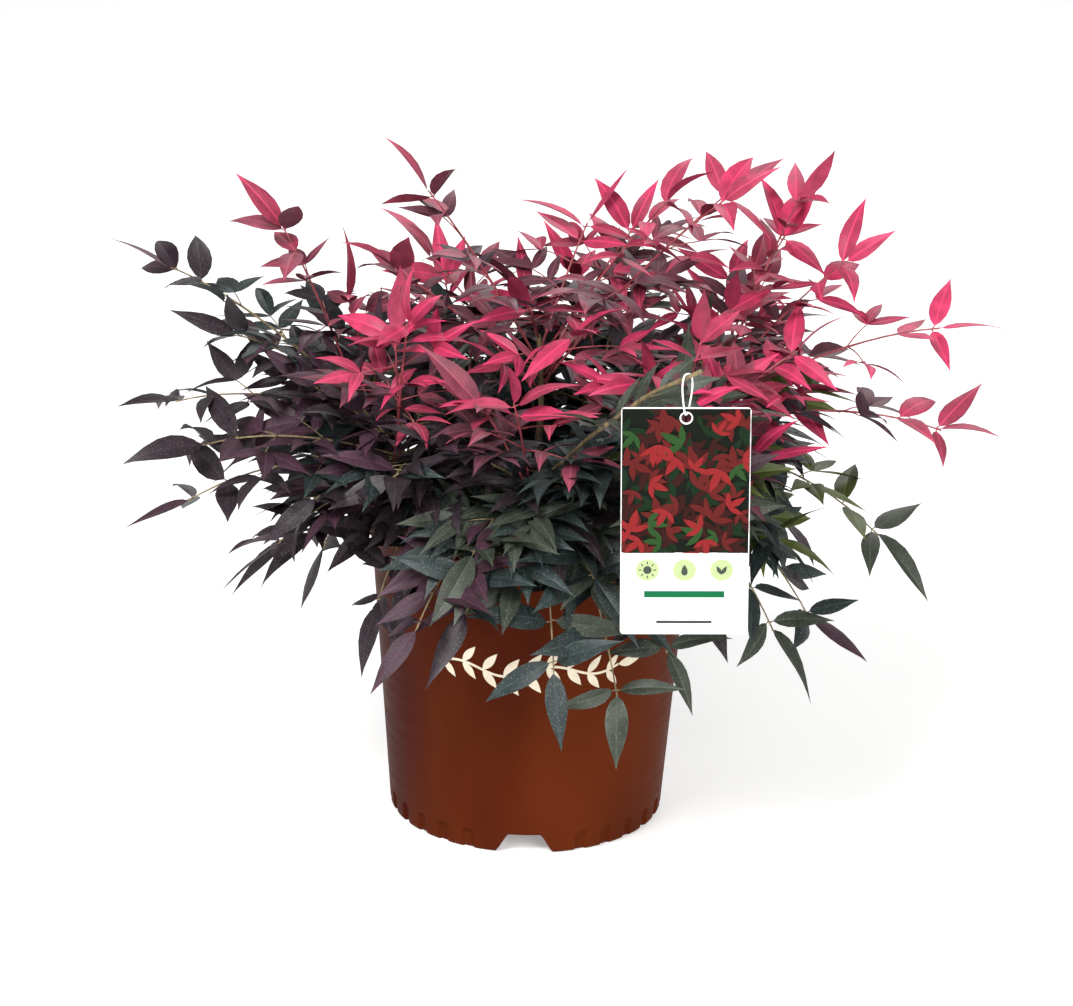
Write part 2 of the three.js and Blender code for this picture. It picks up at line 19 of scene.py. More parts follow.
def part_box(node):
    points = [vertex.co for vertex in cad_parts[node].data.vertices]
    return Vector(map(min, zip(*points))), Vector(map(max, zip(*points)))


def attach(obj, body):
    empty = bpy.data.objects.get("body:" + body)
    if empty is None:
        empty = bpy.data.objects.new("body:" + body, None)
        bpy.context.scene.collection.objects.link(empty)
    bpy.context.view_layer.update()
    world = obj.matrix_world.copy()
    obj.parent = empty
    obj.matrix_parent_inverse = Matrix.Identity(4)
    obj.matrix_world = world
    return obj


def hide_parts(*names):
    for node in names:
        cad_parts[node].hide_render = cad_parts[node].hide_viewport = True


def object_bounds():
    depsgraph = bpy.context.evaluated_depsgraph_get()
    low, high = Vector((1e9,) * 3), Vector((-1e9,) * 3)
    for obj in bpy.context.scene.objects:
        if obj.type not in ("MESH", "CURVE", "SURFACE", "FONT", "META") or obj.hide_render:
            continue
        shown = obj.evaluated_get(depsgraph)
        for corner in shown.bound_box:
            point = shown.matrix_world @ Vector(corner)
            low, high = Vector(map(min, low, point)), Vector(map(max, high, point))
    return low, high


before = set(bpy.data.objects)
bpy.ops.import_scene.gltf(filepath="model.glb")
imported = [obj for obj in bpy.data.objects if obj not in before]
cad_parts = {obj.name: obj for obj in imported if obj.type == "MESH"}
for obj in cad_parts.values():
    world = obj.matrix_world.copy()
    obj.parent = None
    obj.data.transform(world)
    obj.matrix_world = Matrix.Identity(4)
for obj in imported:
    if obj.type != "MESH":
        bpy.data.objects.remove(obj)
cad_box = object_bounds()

MM = 0.001
DEG = math.pi / 180
print("packed model, m:", [[round(c, 3) for c in corner] for corner in cad_box])

# %% [markdown]
# ## Camera, floor and light
# The camera comes first, so that each later step can be looked at from the place that matters. It stands
# 2.6 m in front and looks down on the crown through a long lens, so the pot's sides hardly converge.
# The floor is one large pale plane. A bright, even sky would flatten the leaves, so a broad soft lamp
# from the upper left gives them a light side and a dark side. A weaker one opens the shadows, and one at
# the back lights the far edges.

# %% Camera
CAMERA_PLACE = (3.2 * MM, -2558 * MM, 1139 * MM)
CAMERA_PITCH = -19.65 * DEG
CAMERA_ROLL = 1.3 * DEG
SENSOR_WIDTH = 36.0
LENS = 129.8
NEAREST_SEEN = 0.05


def add_object(name, data):
    """A new object in the scene."""
    made = bpy.data.objects.new(name, data)
    bpy.context.scene.collection.objects.link(made)
    return made


lens = bpy.data.cameras.new("camera")
lens.sensor_fit = "HORIZONTAL"
lens.sensor_width = SENSOR_WIDTH
lens.lens = LENS
lens.clip_start = NEAREST_SEEN
camera = add_object("camera", lens)
level = Euler((math.pi / 2 + CAMERA_PITCH, 0, 0)).to_matrix().to_4x4()
camera.matrix_world = Matrix.Translation(CAMERA_PLACE) @ level @ Matrix.Rotation(CAMERA_ROLL, 4, "Z")
bpy.context.scene.camera = camera
bpy.context.scene.view_settings.view_transform = "Standard"
print("lens, mm:", LENS)


# %% Colours and nodes
def linear(hex_colour):
    """The linear colour, with alpha 1, of an sRGB hex value."""
    shares = [int(hex_colour[i : i + 2], 16) / 255 for i in (1, 3, 5)]
    return (*[c / 12.92 if c <= 0.04045 else ((c + 0.055) / 1.055) ** 2.4 for c in shares], 1.0)


def feed(node, name, source):
    """Links an output, or the first output of a node, to an input of a node."""
    output = source.outputs[0] if isinstance(source, bpy.types.Node) else source
    node.id_data.links.new(output, node.inputs[name])


def add_node(material, kind, settings=None, links=None):
    """Adds a node. A setting is one of its own properties or the value of an input, and a link feeds one."""
    node = material.node_tree.nodes.new(kind)
    for name, value in (settings or {}).items():
        if hasattr(node, name):
            setattr(node, name, value)
        else:
            node.inputs[name].default_value = value
    for name, source in (links or {}).items():
        feed(node, name, source)
    return node


def new_material(name, colour, roughness, ior=1.5, specular=0.5):
    """A material with one shader, and that shader."""
    material = bpy.data.materials.new(name)
    material.use_nodes = True
    shader = material.node_tree.nodes["Principled BSDF"]
    shader.inputs["Base Color"].default_value = linear(colour)
    shader.inputs["Roughness"].default_value = roughness
    shader.inputs["IOR"].default_value = ior
    shader.inputs["Specular IOR Level"].default_value = specular
    material.diffuse_color = linear(colour)
    return material, shader


def per_metre(size):
    """The scale of a pattern whose grains are about that size in metres."""
    return 1 / size


RGBA_FACTOR, RGBA_A, RGBA_B, RGBA_RESULT = 0, 6, 7, 2


def blend_colours(material, factor, first, second):
    """The mix of two colours. Each is a hex value or an output."""
    node = add_node(material, "ShaderNodeMix", {"data_type": "RGBA"}, {RGBA_FACTOR: factor})
    for index, colour in ((RGBA_A, first), (RGBA_B, second)):
        if isinstance(colour, str):
            node.inputs[index].default_value = linear(colour)
        else:
            feed(node, index, colour)
    return node.outputs[RGBA_RESULT]


# %% Floor and light
FLOOR_SIDE = 24.0
LAMPS = {
    "key": {"place": (-1.3, -1.9, 2.6), "size": 1.2, "power": 112},
    "fill": {"place": (1.1, -2.5, 1.6), "size": 1.2, "power": 56},
    "back": {"place": (0.6, 2.2, 1.9), "size": 1.6, "power": 26},
}
AIM = (0, 0, 0.25)
SKY = "#ffffff"
SKY_STRENGTH = 0.38
BOARD_GLOW = 0.3

painted, board_shader = new_material("painted_board", "#ededec", 0.9)
board_shader.inputs["Emission Color"].default_value = linear(SKY)
board_shader.inputs["Emission Strength"].default_value = BOARD_GLOW
half = FLOOR_SIDE / 2
corners = [(-half, -half, 0), (half, -half, 0), (half, half, 0), (-half, half, 0)]
board = bpy.data.meshes.new("floor")
board.from_pydata(corners, [], [(0, 1, 2, 3)])
board.materials.append(painted)
add_object("floor", board)

for name, lamp in LAMPS.items():
    light = bpy.data.lights.new(name, "AREA")
    light.energy = lamp["power"]
    light.size = lamp["size"]
    facing = (Vector(lamp["place"]) - Vector(AIM)).to_track_quat("Z", "Y").to_matrix().to_4x4()
    add_object(name, light).matrix_world = Matrix.Translation(lamp["place"]) @ facing

world = bpy.data.worlds.new("sky")
world.use_nodes = True
sky = world.node_tree.nodes["Background"]
sky.inputs["Color"].default_value = linear(SKY)
sky.inputs["Strength"].default_value = SKY_STRENGTH
bpy.context.scene.world = world
print("lamps:", len(LAMPS))

# %% [markdown]
# ## A heap of small faces
# A plant has thousands of leaflets. One object for each would be slow, and instances are lost when the
# model is exported, so each kind is gathered in a heap and becomes one mesh. A heap takes points, faces,
# the number of a material, and for each point its place on the leaf, which is kept as the UV map.


# %% Points and curves
def vec(x, y, z):
    """A point or direction."""
    return np.array([x, y, z], float)


def unit(v):
    """The direction of v."""
    return v / np.linalg.norm(v)


def mix(a, b, t):
    """The value at share t of the way from a to b."""
    return a + (b - a) * t


def polar(r, degrees, z):
    """The point at a distance from the axis, an angle round it, and a height."""
    return vec(r * math.cos(degrees * DEG), r * math.sin(degrees * DEG), z)


def smooth_step(t):
    """0 below 0 and 1 above 1, with a smooth rise between."""
    t = np.clip(t, 0, 1)
    return t * t * (3 - 2 * t)


class Bend:
    """A quadratic curve from start to end that leans towards crest."""

    def __init__(self, start, crest, end):
        self.start, self.crest, self.end = start, crest, end

    def at(self, t):
        """The point at t."""
        return (1 - t) ** 2 * self.start + 2 * t * (1 - t) * self.crest + t * t * self.end

    def along(self, t):
        """The direction at t."""
        return unit((1 - t) * (self.crest - self.start) + t * (self.end - self.crest))


def points_along(curve, count):
    """Points spread along a curve or a frond."""
    return [curve.at(t) for t in np.linspace(0, 1, count)]


UP = vec(0, 0, 1)
SIDEWAYS = unit(vec(0.31, 0.17, 0.05))


# %% Heaps and tubes
class Heap:
    """Gathers many small things that become one mesh."""

    def __init__(self):
        self.points, self.faces, self.looks, self.flat, self.count = [], [], [], [], 0

    def add(self, points, faces, look=0, flat=None):
        """Adds points and the faces between them. Look is the number of a material, or one for each face."""
        self.points.append(points)
        self.faces.extend([[i + self.count for i in face] for face in faces])
        self.looks.extend([look] * len(faces) if isinstance(look, int) else look)
        self.flat.append(np.zeros((len(points), 2)) if flat is None else flat)
        self.count += len(points)

    def make(self, name, materials, smooth=True):
        """The object with everything that was gathered."""
        mesh = bpy.data.meshes.new(name)
        mesh.from_pydata(np.concatenate(self.points).tolist(), [], self.faces)
        mesh.polygons.foreach_set("material_index", self.looks)
        layer = mesh.uv_layers.new(name="place")
        corners = np.zeros(len(mesh.loops), int)
        mesh.loops.foreach_get("vertex_index", corners)
        layer.data.foreach_set("uv", np.concatenate(self.flat)[corners].ravel())
        if smooth:
            mesh.shade_smooth()
        for material in materials:
            mesh.materials.append(material)
        return add_object(name, mesh)


def rings_round(path, radii, sides, bumps=None):
    """Rings of points round a path. The rings don't twist, and bumps(ring, angles) scales their radii."""
    path = np.array(path)
    alongs = np.gradient(path, axis=0)
    alongs /= np.linalg.norm(alongs, axis=1)[:, None]
    across = unit(np.cross(alongs[0], SIDEWAYS))
    angles = np.arange(sides) * 2 * math.pi / sides
    rings = []
    for i, along in enumerate(alongs):
        across = unit(across - along * across.dot(along))
        third = np.cross(along, across)
        reach = np.full(sides, radii[i]) * (1 if bumps is None else bumps(i, angles))
        x, y = reach * np.cos(angles), reach * np.sin(angles)
        rings.append(path[i] + np.outer(x, across) + np.outer(y, third))
    return np.array(rings)


def ring_faces(rings, sides, closed=False):
    """The faces between rings of points, and over the two ends unless the rings close on themselves."""
    faces = []
    for i in range(rings if closed else rings - 1):
        low, high = i * sides, (i + 1) % rings * sides
        turns = [(k, (k + 1) % sides) for k in range(sides)]
        faces += [[low + a, low + b, high + b, high + a] for a, b in turns]
    if not closed:
        faces.append(list(range(sides - 1, -1, -1)))
        faces.append([(rings - 1) * sides + k for k in range(sides)])
    return faces


def add_tube(heap, path, radii, sides, look=0, bumps=None):
    """Adds a round limb along a path to a heap."""
    rings = rings_round(path, radii, sides, bumps)
    heap.add(rings.reshape(-1, 3), ring_faces(len(path), sides), look)


def keep(piece, slot, *nodes):
    """Rides the piece on the one body and lets it stand for nodes. Slot is not used."""
    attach(piece, "root")
    if nodes:
        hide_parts(*nodes)
    print(piece.name, "faces:", len(piece.data.polygons))


def dress(node, material):
    """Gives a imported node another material."""
    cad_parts[node].data.materials.clear()
    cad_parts[node].data.materials.append(material)
    print(node, "is now", material.name)


# %% [markdown]
# ## The pot
# A nursery pot of this size is blow-moulded or injected polypropylene: a thin tapered wall, a collar that
# stiffens the rim, three notches that let water out from under the floor, and a row of arched flutes
# round the foot. It could be a turned shape with the notches cut by Booleans. Here it is one grid of
# columns and rows instead. The row at the foot rises where a notch is, and a column sinks where a flute
# is, so each edge is as soft as the moulding left it and no stray faces are made.

# %% Pot sizes
POT_HEIGHT = 222 * MM
FOOT_R = 97 * MM
COLLAR_LOW_Z = 208 * MM
COLLAR_LOW_R = 112.6 * MM
COLLAR_R = 115 * MM
RIM_R = 116.5 * MM
RIM_DROP = 3 * MM
WALL = 2 * MM
SKIRT_R = FOOT_R - 4.5 * MM
FLOOR_LOW_Z = 14 * MM
FLOOR_THICK = 2.5 * MM
PAD_R = 28 * MM
PAD_TOP_R = 31 * MM
EDGE_ROUND = 3 * MM
EASE = 1.5 * MM
COLLAR_ROUND, RIM_ROUND, LIP_ROUND = 0.8 * MM, 1.2 * MM, 0.8 * MM
CENTRE_R = 0.5 * MM
FLUTED_TOP_Z = 21 * MM
FLUTED_ROWS = 26
PLAIN_FROM_Z = 30 * MM
NOTCHES = {"count": 3, "top": 11.2 * MM, "foot": 20.7 * MM, "height": 13.7 * MM, "first": -90}
FLUTES = {"pitch": 12, "per_bay": 7, "half": 4 * MM, "height": 15 * MM, "depth": 2.2 * MM, "soft": 0.9 * MM}
POT_COLUMNS = 720


def wall_radius(z):
    """The radius of the pot's wall at a height."""
    return mix(FOOT_R, COLLAR_LOW_R, z / COLLAR_LOW_Z)


# %% Pot mesh
def turn_from(angles, centre):
    """How far round the foot each angle is from a centre, in metres, signed."""
    return ((angles - centre + 180) % 360 - 180) * DEG * FOOT_R


def foot_heights(angles):
    """The height of the skirt's lower edge: the ground, or up to the top of a notch."""
    heights = np.zeros_like(angles)
    for i in range(NOTCHES["count"]):
        away = np.abs(turn_from(angles, NOTCHES["first"] + i * 360 / NOTCHES["count"]))
        rise = np.clip((NOTCHES["foot"] - away) / (NOTCHES["foot"] - NOTCHES["top"]), 0, 1)
        heights = np.maximum(heights, NOTCHES["height"] * mix(rise, smooth_step(rise), 0.5))
    return heights


def flute_depths(angles, heights):
    """How far the wall sinks at each angle and height."""
    depths = np.zeros_like(heights)
    spring = FLUTES["height"] - FLUTES["half"]
    for bay in range(NOTCHES["count"]):
        for i in range(FLUTES["per_bay"]):
            centre = NOTCHES["first"] + bay * 360 / NOTCHES["count"] + (i + 2) * FLUTES["pitch"]
            away = turn_from(angles, centre)
            inside = FLUTES["half"] - np.hypot(away, np.maximum(heights - spring, 0))
            depths = np.maximum(depths, FLUTES["depth"] * smooth_step(inside / FLUTES["soft"] + 0.4))
    return depths


def arc_rows(r, z, radius, first, last, steps):
    """Rows round a fillet, as (radius, height), from one angle to another."""
    turns = [mix(first, last, i / steps) * DEG for i in range(steps + 1)]
    return [(r + radius * math.cos(a), z + radius * math.sin(a)) for a in turns]


def level_rows(profile):
    """Rows of the grid that are round and level, from pairs of a radius and a height."""
    return [(np.full(POT_COLUMNS, r), np.full(POT_COLUMNS, z)) for r, z in profile]


def make_pot():
    """The pot as one closed grid: the underside, the fluted foot, then up the wall and down inside."""
    angles = np.arange(POT_COLUMNS) * 360 / POT_COLUMNS
    foot = foot_heights(angles)
    rows = level_rows([
        (CENTRE_R, 0), (PAD_R - EASE, 0), (PAD_R, 1.2 * MM), (PAD_TOP_R, FLOOR_LOW_Z - EASE),
        (PAD_TOP_R + EASE, FLOOR_LOW_Z), (SKIRT_R - EASE, FLOOR_LOW_Z), (SKIRT_R, FLOOR_LOW_Z),
    ])
    rows += [(np.full(POT_COLUMNS, SKIRT_R), foot + share * (FLOOR_LOW_Z - foot)) for share in (0.6, 0.2)]
    rows += [(np.full(POT_COLUMNS, SKIRT_R + 0.8 * MM), foot)]
    for r, z in arc_rows(FOOT_R - EDGE_ROUND, EDGE_ROUND, EDGE_ROUND, -90, 0, 5):
        height = foot + z
        sunk = flute_depths(angles, height)
        rows += [(np.maximum(r + wall_radius(height) - FOOT_R - sunk, SKIRT_R + 0.9 * MM), height)]
    for i in range(1, FLUTED_ROWS + 1):
        height = mix(foot + EDGE_ROUND, FLUTED_TOP_Z, i / FLUTED_ROWS)
        rows += [(wall_radius(height) - flute_depths(angles, height), height)]
    inner_r = wall_radius(POT_HEIGHT) - WALL
    floor_z = FLOOR_LOW_Z + FLOOR_THICK
    rim_z = POT_HEIGHT - RIM_DROP
    rows += level_rows([
        *((wall_radius(z), z) for z in np.linspace(PLAIN_FROM_Z, COLLAR_LOW_Z - EASE, 8)),
        (COLLAR_LOW_R + 0.2 * MM, COLLAR_LOW_Z - 0.4 * MM), (COLLAR_LOW_R + 0.7 * MM, COLLAR_LOW_Z),
        *arc_rows(COLLAR_R - COLLAR_ROUND, COLLAR_LOW_Z + COLLAR_ROUND, COLLAR_ROUND, -80, 0, 3),
        (COLLAR_R + 0.4 * MM, rim_z - 0.3 * MM), (COLLAR_R + 0.8 * MM, rim_z),
        *arc_rows(RIM_R - RIM_ROUND, POT_HEIGHT - RIM_ROUND, RIM_ROUND, -60, 90, 6),
        *arc_rows(inner_r + LIP_ROUND, POT_HEIGHT - LIP_ROUND, LIP_ROUND, 90, 180, 3),
        *((wall_radius(z) - WALL, z) for z in (200 * MM, 120 * MM, floor_z + 1 * MM)),
        (wall_radius(floor_z) - WALL - 1 * MM, floor_z), (PAD_TOP_R, floor_z),
        (PAD_R - 2 * MM, FLOOR_THICK), (CENTRE_R, FLOOR_THICK),
    ])
    grid = [np.stack([r * np.cos(angles * DEG), r * np.sin(angles * DEG), z], axis=1) for r, z in rows]
    heap = Heap()
    heap.add(np.concatenate(grid), ring_faces(len(rows), POT_COLUMNS))
    return heap


# %% [markdown]
# ### Moulded plastic
# Polypropylene coloured with an iron-oxide pigment gives a warm red-brown that is a little uneven, since
# the pigment flows with the melt. The mould leaves a satin skin: a soft highlight with very fine grain,
# and faint scuffs where pots are stacked. Three noises do that: broad streaks for the pigment, fine grain
# for the skin, and stretched scratches that only change the gloss.


# %% Plastic for the pot
POLYPROPYLENE_IOR = 1.49
POT_SPECULAR = 0.03
POT_GLOSS = {"From Min": 0.4, "From Max": 0.7, "To Min": 0.46, "To Max": 0.56}
FLOW_STRETCH, SCUFF_STRETCH = (1, 1, 0.35), (1, 1, 9)
SKIN_RELIEF = {"Strength": 0.12, "Distance": 0.15 * MM}
CONTRAST = {"From Min": 0.35, "From Max": 0.65}


def moulded_plastic(name, dark, warm, streak, grain):
    """Satin moulded plastic with uneven pigment. Streak and grain are sizes in metres."""
    material, shader = new_material(name, warm, 0.5, ior=POLYPROPYLENE_IOR, specular=POT_SPECULAR)
    place = {"Vector": add_node(material, "ShaderNodeTexCoord").outputs["Object"]}
    tall = add_node(material, "ShaderNodeMapping", {"Scale": FLOW_STRETCH}, place)
    flow = {"Scale": per_metre(streak), "Detail": 3.0, "Roughness": 0.5}
    pigment = add_node(material, "ShaderNodeTexNoise", flow, {"Vector": tall})
    spread = add_node(material, "ShaderNodeMapRange", CONTRAST, {"Value": pigment})
    feed(shader, "Base Color", blend_colours(material, spread, dark, warm))
    flat = add_node(material, "ShaderNodeMapping", {"Scale": SCUFF_STRETCH}, place)
    fine = {"Scale": per_metre(streak / 3), "Detail": 6.0}
    scuff = add_node(material, "ShaderNodeTexNoise", fine, {"Vector": flat})
    feed(shader, "Roughness", add_node(material, "ShaderNodeMapRange", POT_GLOSS, {"Value": scuff}))
    skin = add_node(material, "ShaderNodeTexNoise", {"Scale": per_metre(grain), "Detail": 2.0}, place)
    feed(shader, "Normal", add_node(material, "ShaderNodeBump", SKIN_RELIEF, {"Height": skin}))
    return material


pot_plastic = moulded_plastic("satin_polypropylene", "#3b1007", "#58230b", streak=140 * MM, grain=1.2 * MM)
keep(make_pot().make("moulded_pot", [pot_plastic]), "pot_plastic", "pot")

# %% [markdown]
# ### A printed ornament
# Such pots often carry a pale screen print. This one is a plain row of leaf sprigs. It could be painted
# in the material, but a print has an edge, and a thin mesh that follows the wall keeps that edge crisp
# from every side. Each shape is drawn flat, as distance round the wall and height, then wrapped on.

# %% Pot print
PRINT_LIFT = 0.15 * MM
PRINT_FRONT = -90
PRINT_Z = 141 * MM
PRINT_HALF = 66 * MM
PRINT_WAVE = 4 * MM
PRINT_PAIRS = 9
PRINT_FIRST, PRINT_TURN, PRINT_TAPER = 0.35, 52, 0.25
PRINT_LEAF = 19 * MM
PRINT_SLIM = 0.36
LINE_HALF = 0.9 * MM
LINE_STEPS = 60
OUTLINE_STEPS = 9
OUTLINE_POWER = 0.85


def leaf_outline(length, width):
    """The outline of a pointed leaf that lies along +x, as points."""
    share = np.linspace(0, 1, OUTLINE_STEPS)
    half_width = width / 2 * np.sin(math.pi * share**OUTLINE_POWER)
    upper = np.stack([share * length, half_width], axis=1)
    return np.concatenate([upper, (upper * [1, -1])[-2:0:-1]])


def turned(points, degrees, x, y):
    """Flat points, turned and moved."""
    c, s = math.cos(degrees * DEG), math.sin(degrees * DEG)
    return points @ np.array([[c, s], [-s, c]]) + [x, y]


def on_wall(points):
    """Wraps flat points on the pot's wall."""
    z = points[:, 1]
    r = wall_radius(z) + PRINT_LIFT
    angle = PRINT_FRONT * DEG + points[:, 0] / wall_radius(PRINT_Z)
    return np.stack([r * np.cos(angle), r * np.sin(angle), z], axis=1)


def strip(heap, line, half_width, wrap):
    """Adds a flat strip along a line of flat points."""
    ahead = np.gradient(line, axis=0)
    ahead /= np.linalg.norm(ahead, axis=1)[:, None]
    off = np.stack([-ahead[:, 1], ahead[:, 0]], axis=1) * half_width
    count = len(line)
    faces = [[i, i + 1, count + i + 1, count + i] for i in range(count - 1)]
    heap.add(wrap(np.concatenate([line - off, line + off])), faces)


def leaf_patch(heap, outline, wrap, look=0):
    """Adds a flat leaf, as quads between its two edges so that it can follow a curved wall."""
    count = len(outline)
    tip = count // 2
    faces = [[0, count - 1, 1], [tip - 1, tip + 1, tip]]
    faces += [[i, count - i, count - i - 1, i + 1] for i in range(1, tip - 1)]
    heap.add(wrap(outline), faces, look)


def uneven_finish(name, base, low, high, grain, roughness, detail=4.0, specular=0.5):
    """A finish whose colour wanders from low to high, in patches of about the size of grain."""
    material, shader = new_material(name, base, roughness, specular=specular)
    place = add_node(material, "ShaderNodeTexCoord").outputs["Object"]
    wander = {"Scale": per_metre(grain), "Detail": detail}
    patches = add_node(material, "ShaderNodeTexNoise", wander, {"Vector": place})
    feed(shader, "Base Color", blend_colours(material, patches, low, high))
    return material


def vine_height(x):
    """The height of the print's wavy stalk."""
    return PRINT_Z + PRINT_WAVE * np.sin(x / PRINT_HALF * 2 * math.pi)


print_heap = Heap()
xs = np.linspace(-PRINT_HALF, PRINT_HALF, LINE_STEPS)
strip(print_heap, np.stack([xs, vine_height(xs)], axis=1), LINE_HALF, on_wall)
sprigs = []
for pair in range(PRINT_PAIRS):
    x = mix(-PRINT_HALF, PRINT_HALF, (pair + PRINT_FIRST) / PRINT_PAIRS)
    size = PRINT_LEAF * (1 - PRINT_TAPER * abs(x) / PRINT_HALF)
    sprigs += [(x, size, PRINT_TURN), (x, size, -PRINT_TURN)]
sprigs += [(PRINT_HALF, PRINT_LEAF, 0)]
for x, size, turn in sprigs:
    leaf_patch(print_heap, turned(leaf_outline(size, size * PRINT_SLIM), turn, x, vine_height(x)), on_wall)

cream_ink = uneven_finish("screen_print_ink", "#e6d9c0", "#d5c3a6", "#f0e6d2", 6 * MM, 0.55)
keep(print_heap.make("pot_print", [cream_ink]), "pot_plastic")

# %% [markdown]
# ## Potting mix
# Nursery mix is composted bark, peat and a little perlite. The packed soil is already the right size, so
# it stays and only gets a dark, crumbly finish. Loose chips of bark are scattered over it as a heap of
# small, flattened, uneven blocks, because the relief of real chips catches light that a bump can't.

# %% Soil sizes
SOIL_TOP_Z = 202 * MM
SOIL_EDGE_Z = 197 * MM
SOIL_FLAT_R = 62 * MM
CHIPS = {"count": 1500, "sizes": (3 * MM, 11 * MM), "thin": 0.35, "seed": 3}
PERLITE = {"count": 90, "sizes": (1.5 * MM, 3 * MM), "thin": 0.8, "seed": 5}
FULL_TURN = 6.3
BLOCK_WIDTHS, BLOCK_WEAR, BLOCK_TILT, BLOCK_LIFT = (0.35, 0.7), (0.6, 1.1), 0.3, 0.2
CORNERS = np.array([[x, y, z] for x in (-1, 1) for y in (-1, 1) for z in (-1, 1)], float)
BLOCK_FACES = [[0, 1, 3, 2], [4, 6, 7, 5], [0, 4, 5, 1], [2, 3, 7, 6], [0, 2, 6, 4], [1, 5, 7, 3]]


def soil_height(r):
    """The height of the soil at a radius."""
    outward = max(0, (r - SOIL_FLAT_R) / (wall_radius(SOIL_EDGE_Z) - WALL - SOIL_FLAT_R))
    return mix(SOIL_TOP_Z, SOIL_EDGE_Z, outward)


def scatter_blocks(count, sizes, thin, seed):
    """Uneven blocks that lie about on the soil."""
    draw = np.random.default_rng(seed)
    heap = Heap()
    most = wall_radius(SOIL_EDGE_Z) - WALL - sizes[1]
    for _ in range(count):
        size = draw.uniform(*sizes)
        r = most * math.sqrt(draw.random())
        spot = polar(r, draw.uniform(0, 360), soil_height(r) + BLOCK_LIFT * thin * size)
        block = CORNERS * [1, draw.uniform(*BLOCK_WIDTHS), thin] * size / 2
        block = block * draw.uniform(*BLOCK_WEAR, CORNERS.shape)
        lie = (draw.normal(0, BLOCK_TILT), draw.normal(0, BLOCK_TILT), draw.uniform(0, FULL_TURN))
        lie = Euler(lie).to_matrix()
        heap.add(block @ np.array(lie).T + spot, BLOCK_FACES)
    return heap


# %% Soil finish
CRUMB = 4 * MM
CRUMB_RELIEF = {"Strength": 0.9, "Distance": 2 * MM}

potting_mix, soil_shader = new_material("composted_bark", "#241a14", 0.95)
place = {"Vector": add_node(potting_mix, "ShaderNodeTexCoord").outputs["Object"]}
crumbs = add_node(potting_mix, "ShaderNodeTexVoronoi", {"Scale": per_metre(CRUMB)}, place)
feed(soil_shader, "Base Color", blend_colours(potting_mix, crumbs, "#3a2a1f", "#150f0c"))
feed(soil_shader, "Normal", add_node(potting_mix, "ShaderNodeBump", CRUMB_RELIEF, {"Height": crumbs}))
dress("soil", potting_mix)

bark_chip = uneven_finish("bark_chip", "#4a3324", "#1f1510", "#6a4a33", 7 * MM, 0.9)
perlite_white = uneven_finish("expanded_perlite", "#d9d5cc", "#b9b2a4", "#efece4", 1 * MM, 0.95, detail=2.0)
keep(scatter_blocks(**CHIPS).make("soil_chips", [bark_chip], smooth=False), "potting_mix")
keep(scatter_blocks(**PERLITE).make("soil_perlite", [perlite_white], smooth=False), "potting_mix")

# %% [markdown]
# ## The rule that the plant grows by
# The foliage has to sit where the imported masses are, so it grows by the same rule, with the same named
# sizes and the same seeded draws. Canes lean out from the middle of the pot. The stem of each mass
# carries on from its cane, 0.3 mm clear of it. Fronds are headings from one point in the crown, and
# each belongs to the mass whose heart is nearest to its end.

# %% The rule's sizes
# Angles are in degrees. Each leader is (azimuth, elevation, reach in millimetres): together they give the
# crown its outline, and the spreads fill it.
CLEAR = 0.3 * MM
CANE_RINGS = [
    {"name": "middle", "count": 1, "first": 60, "foot": 3, "tip": 9, "tip_z": 285, "thick": 4.6,
     "heart": (0, 390)},
    {"name": "side", "count": 7, "first": -39, "foot": 26, "tip": 60, "tip_z": 256, "thick": 4.2,
     "heart": (165, 285)},
]
CANE_TIP_SHARE = 0.5
CANE_FLARE = 1.3
CANE_TURN, CANE_BOW, CANE_RISE = 6, 0.06, 3 * MM
STEM = {"reach": 0.6, "crest": 0.4, "foot": 2.1 * MM, "tip": 1.6 * MM, "first": 0.15, "last": 0.97}
CROWN_MIDDLE = vec(8, 0, 235) * MM
CROWN_ELEVATIONS = [-40, -20, 0, 20, 45, 65, 90]
CROWN_REACHES = [212, 262, 292, 302, 288, 236, 200]
CROWN_DEPTH = 0.1
LEADERS = [
    (-174, 15, 312), (176, 30, 350), (180, 27, 287), (172, 44, 306), (-166, 69, 282), (-160, 13, 299),
    (-157, 5, 309), (-151, -2, 252), (-138, -18, 205), (-4, 26, 346), (-11, 14, 331), (-2, -6, 284),
    (-14, -21, 254), (-33, -18, 246), (-60, -20, 228), (-72, -28, 240), (-87, -20, 236), (-106, -8, 228),
    (-116, -12, 240), (5, 51, 320), (18, 58, 292), (12, 47, 292), (-20, 69, 282), (40, 67, 240),
    (62, 73, 236), (-5, 41, 316), (-165, 57, 246), (-30, 60, 314),
]
LABEL_FROND = (-66.6, 33.4, 342)
SPREADS = [
    {"count": 46, "low": -16, "high": 90, "least": 0.6, "most": 0.92, "apart": 10, "seed": 41},
    {"count": 15, "low": -16, "high": 6, "least": 0.64, "most": 0.8, "apart": 0, "seed": 7},
    {"count": 18, "low": 14, "high": 50, "least": 0.66, "most": 0.84, "apart": 0, "seed": 5},
]
GOLDEN_TURN = 137.508
ELEVATION_JITTER, AZIMUTH_JITTER = 6, 10
PAST_RIM = 176
FROND_NODES = (0.4, 0.62, 0.82)
NODE_LEAVES = (1.2, 1.08, 0.92)
END_LEAF = 0.88
END_TURN = 62
END_SHORT = 0.8
CREST = 0.6
LOWEST, HIGHEST = -33, 90
LOW_BOW, HIGH_BOW = 0.36, 0.03
LOW_LIFT, HIGH_LIFT = 0.3, -0.05
LOW_TILT = 3.9
FROND_JOINTS = (0, 0.32, 0.66, 1)
LEAF_LENGTH = 67 * MM
LEAF_SPREAD = 66
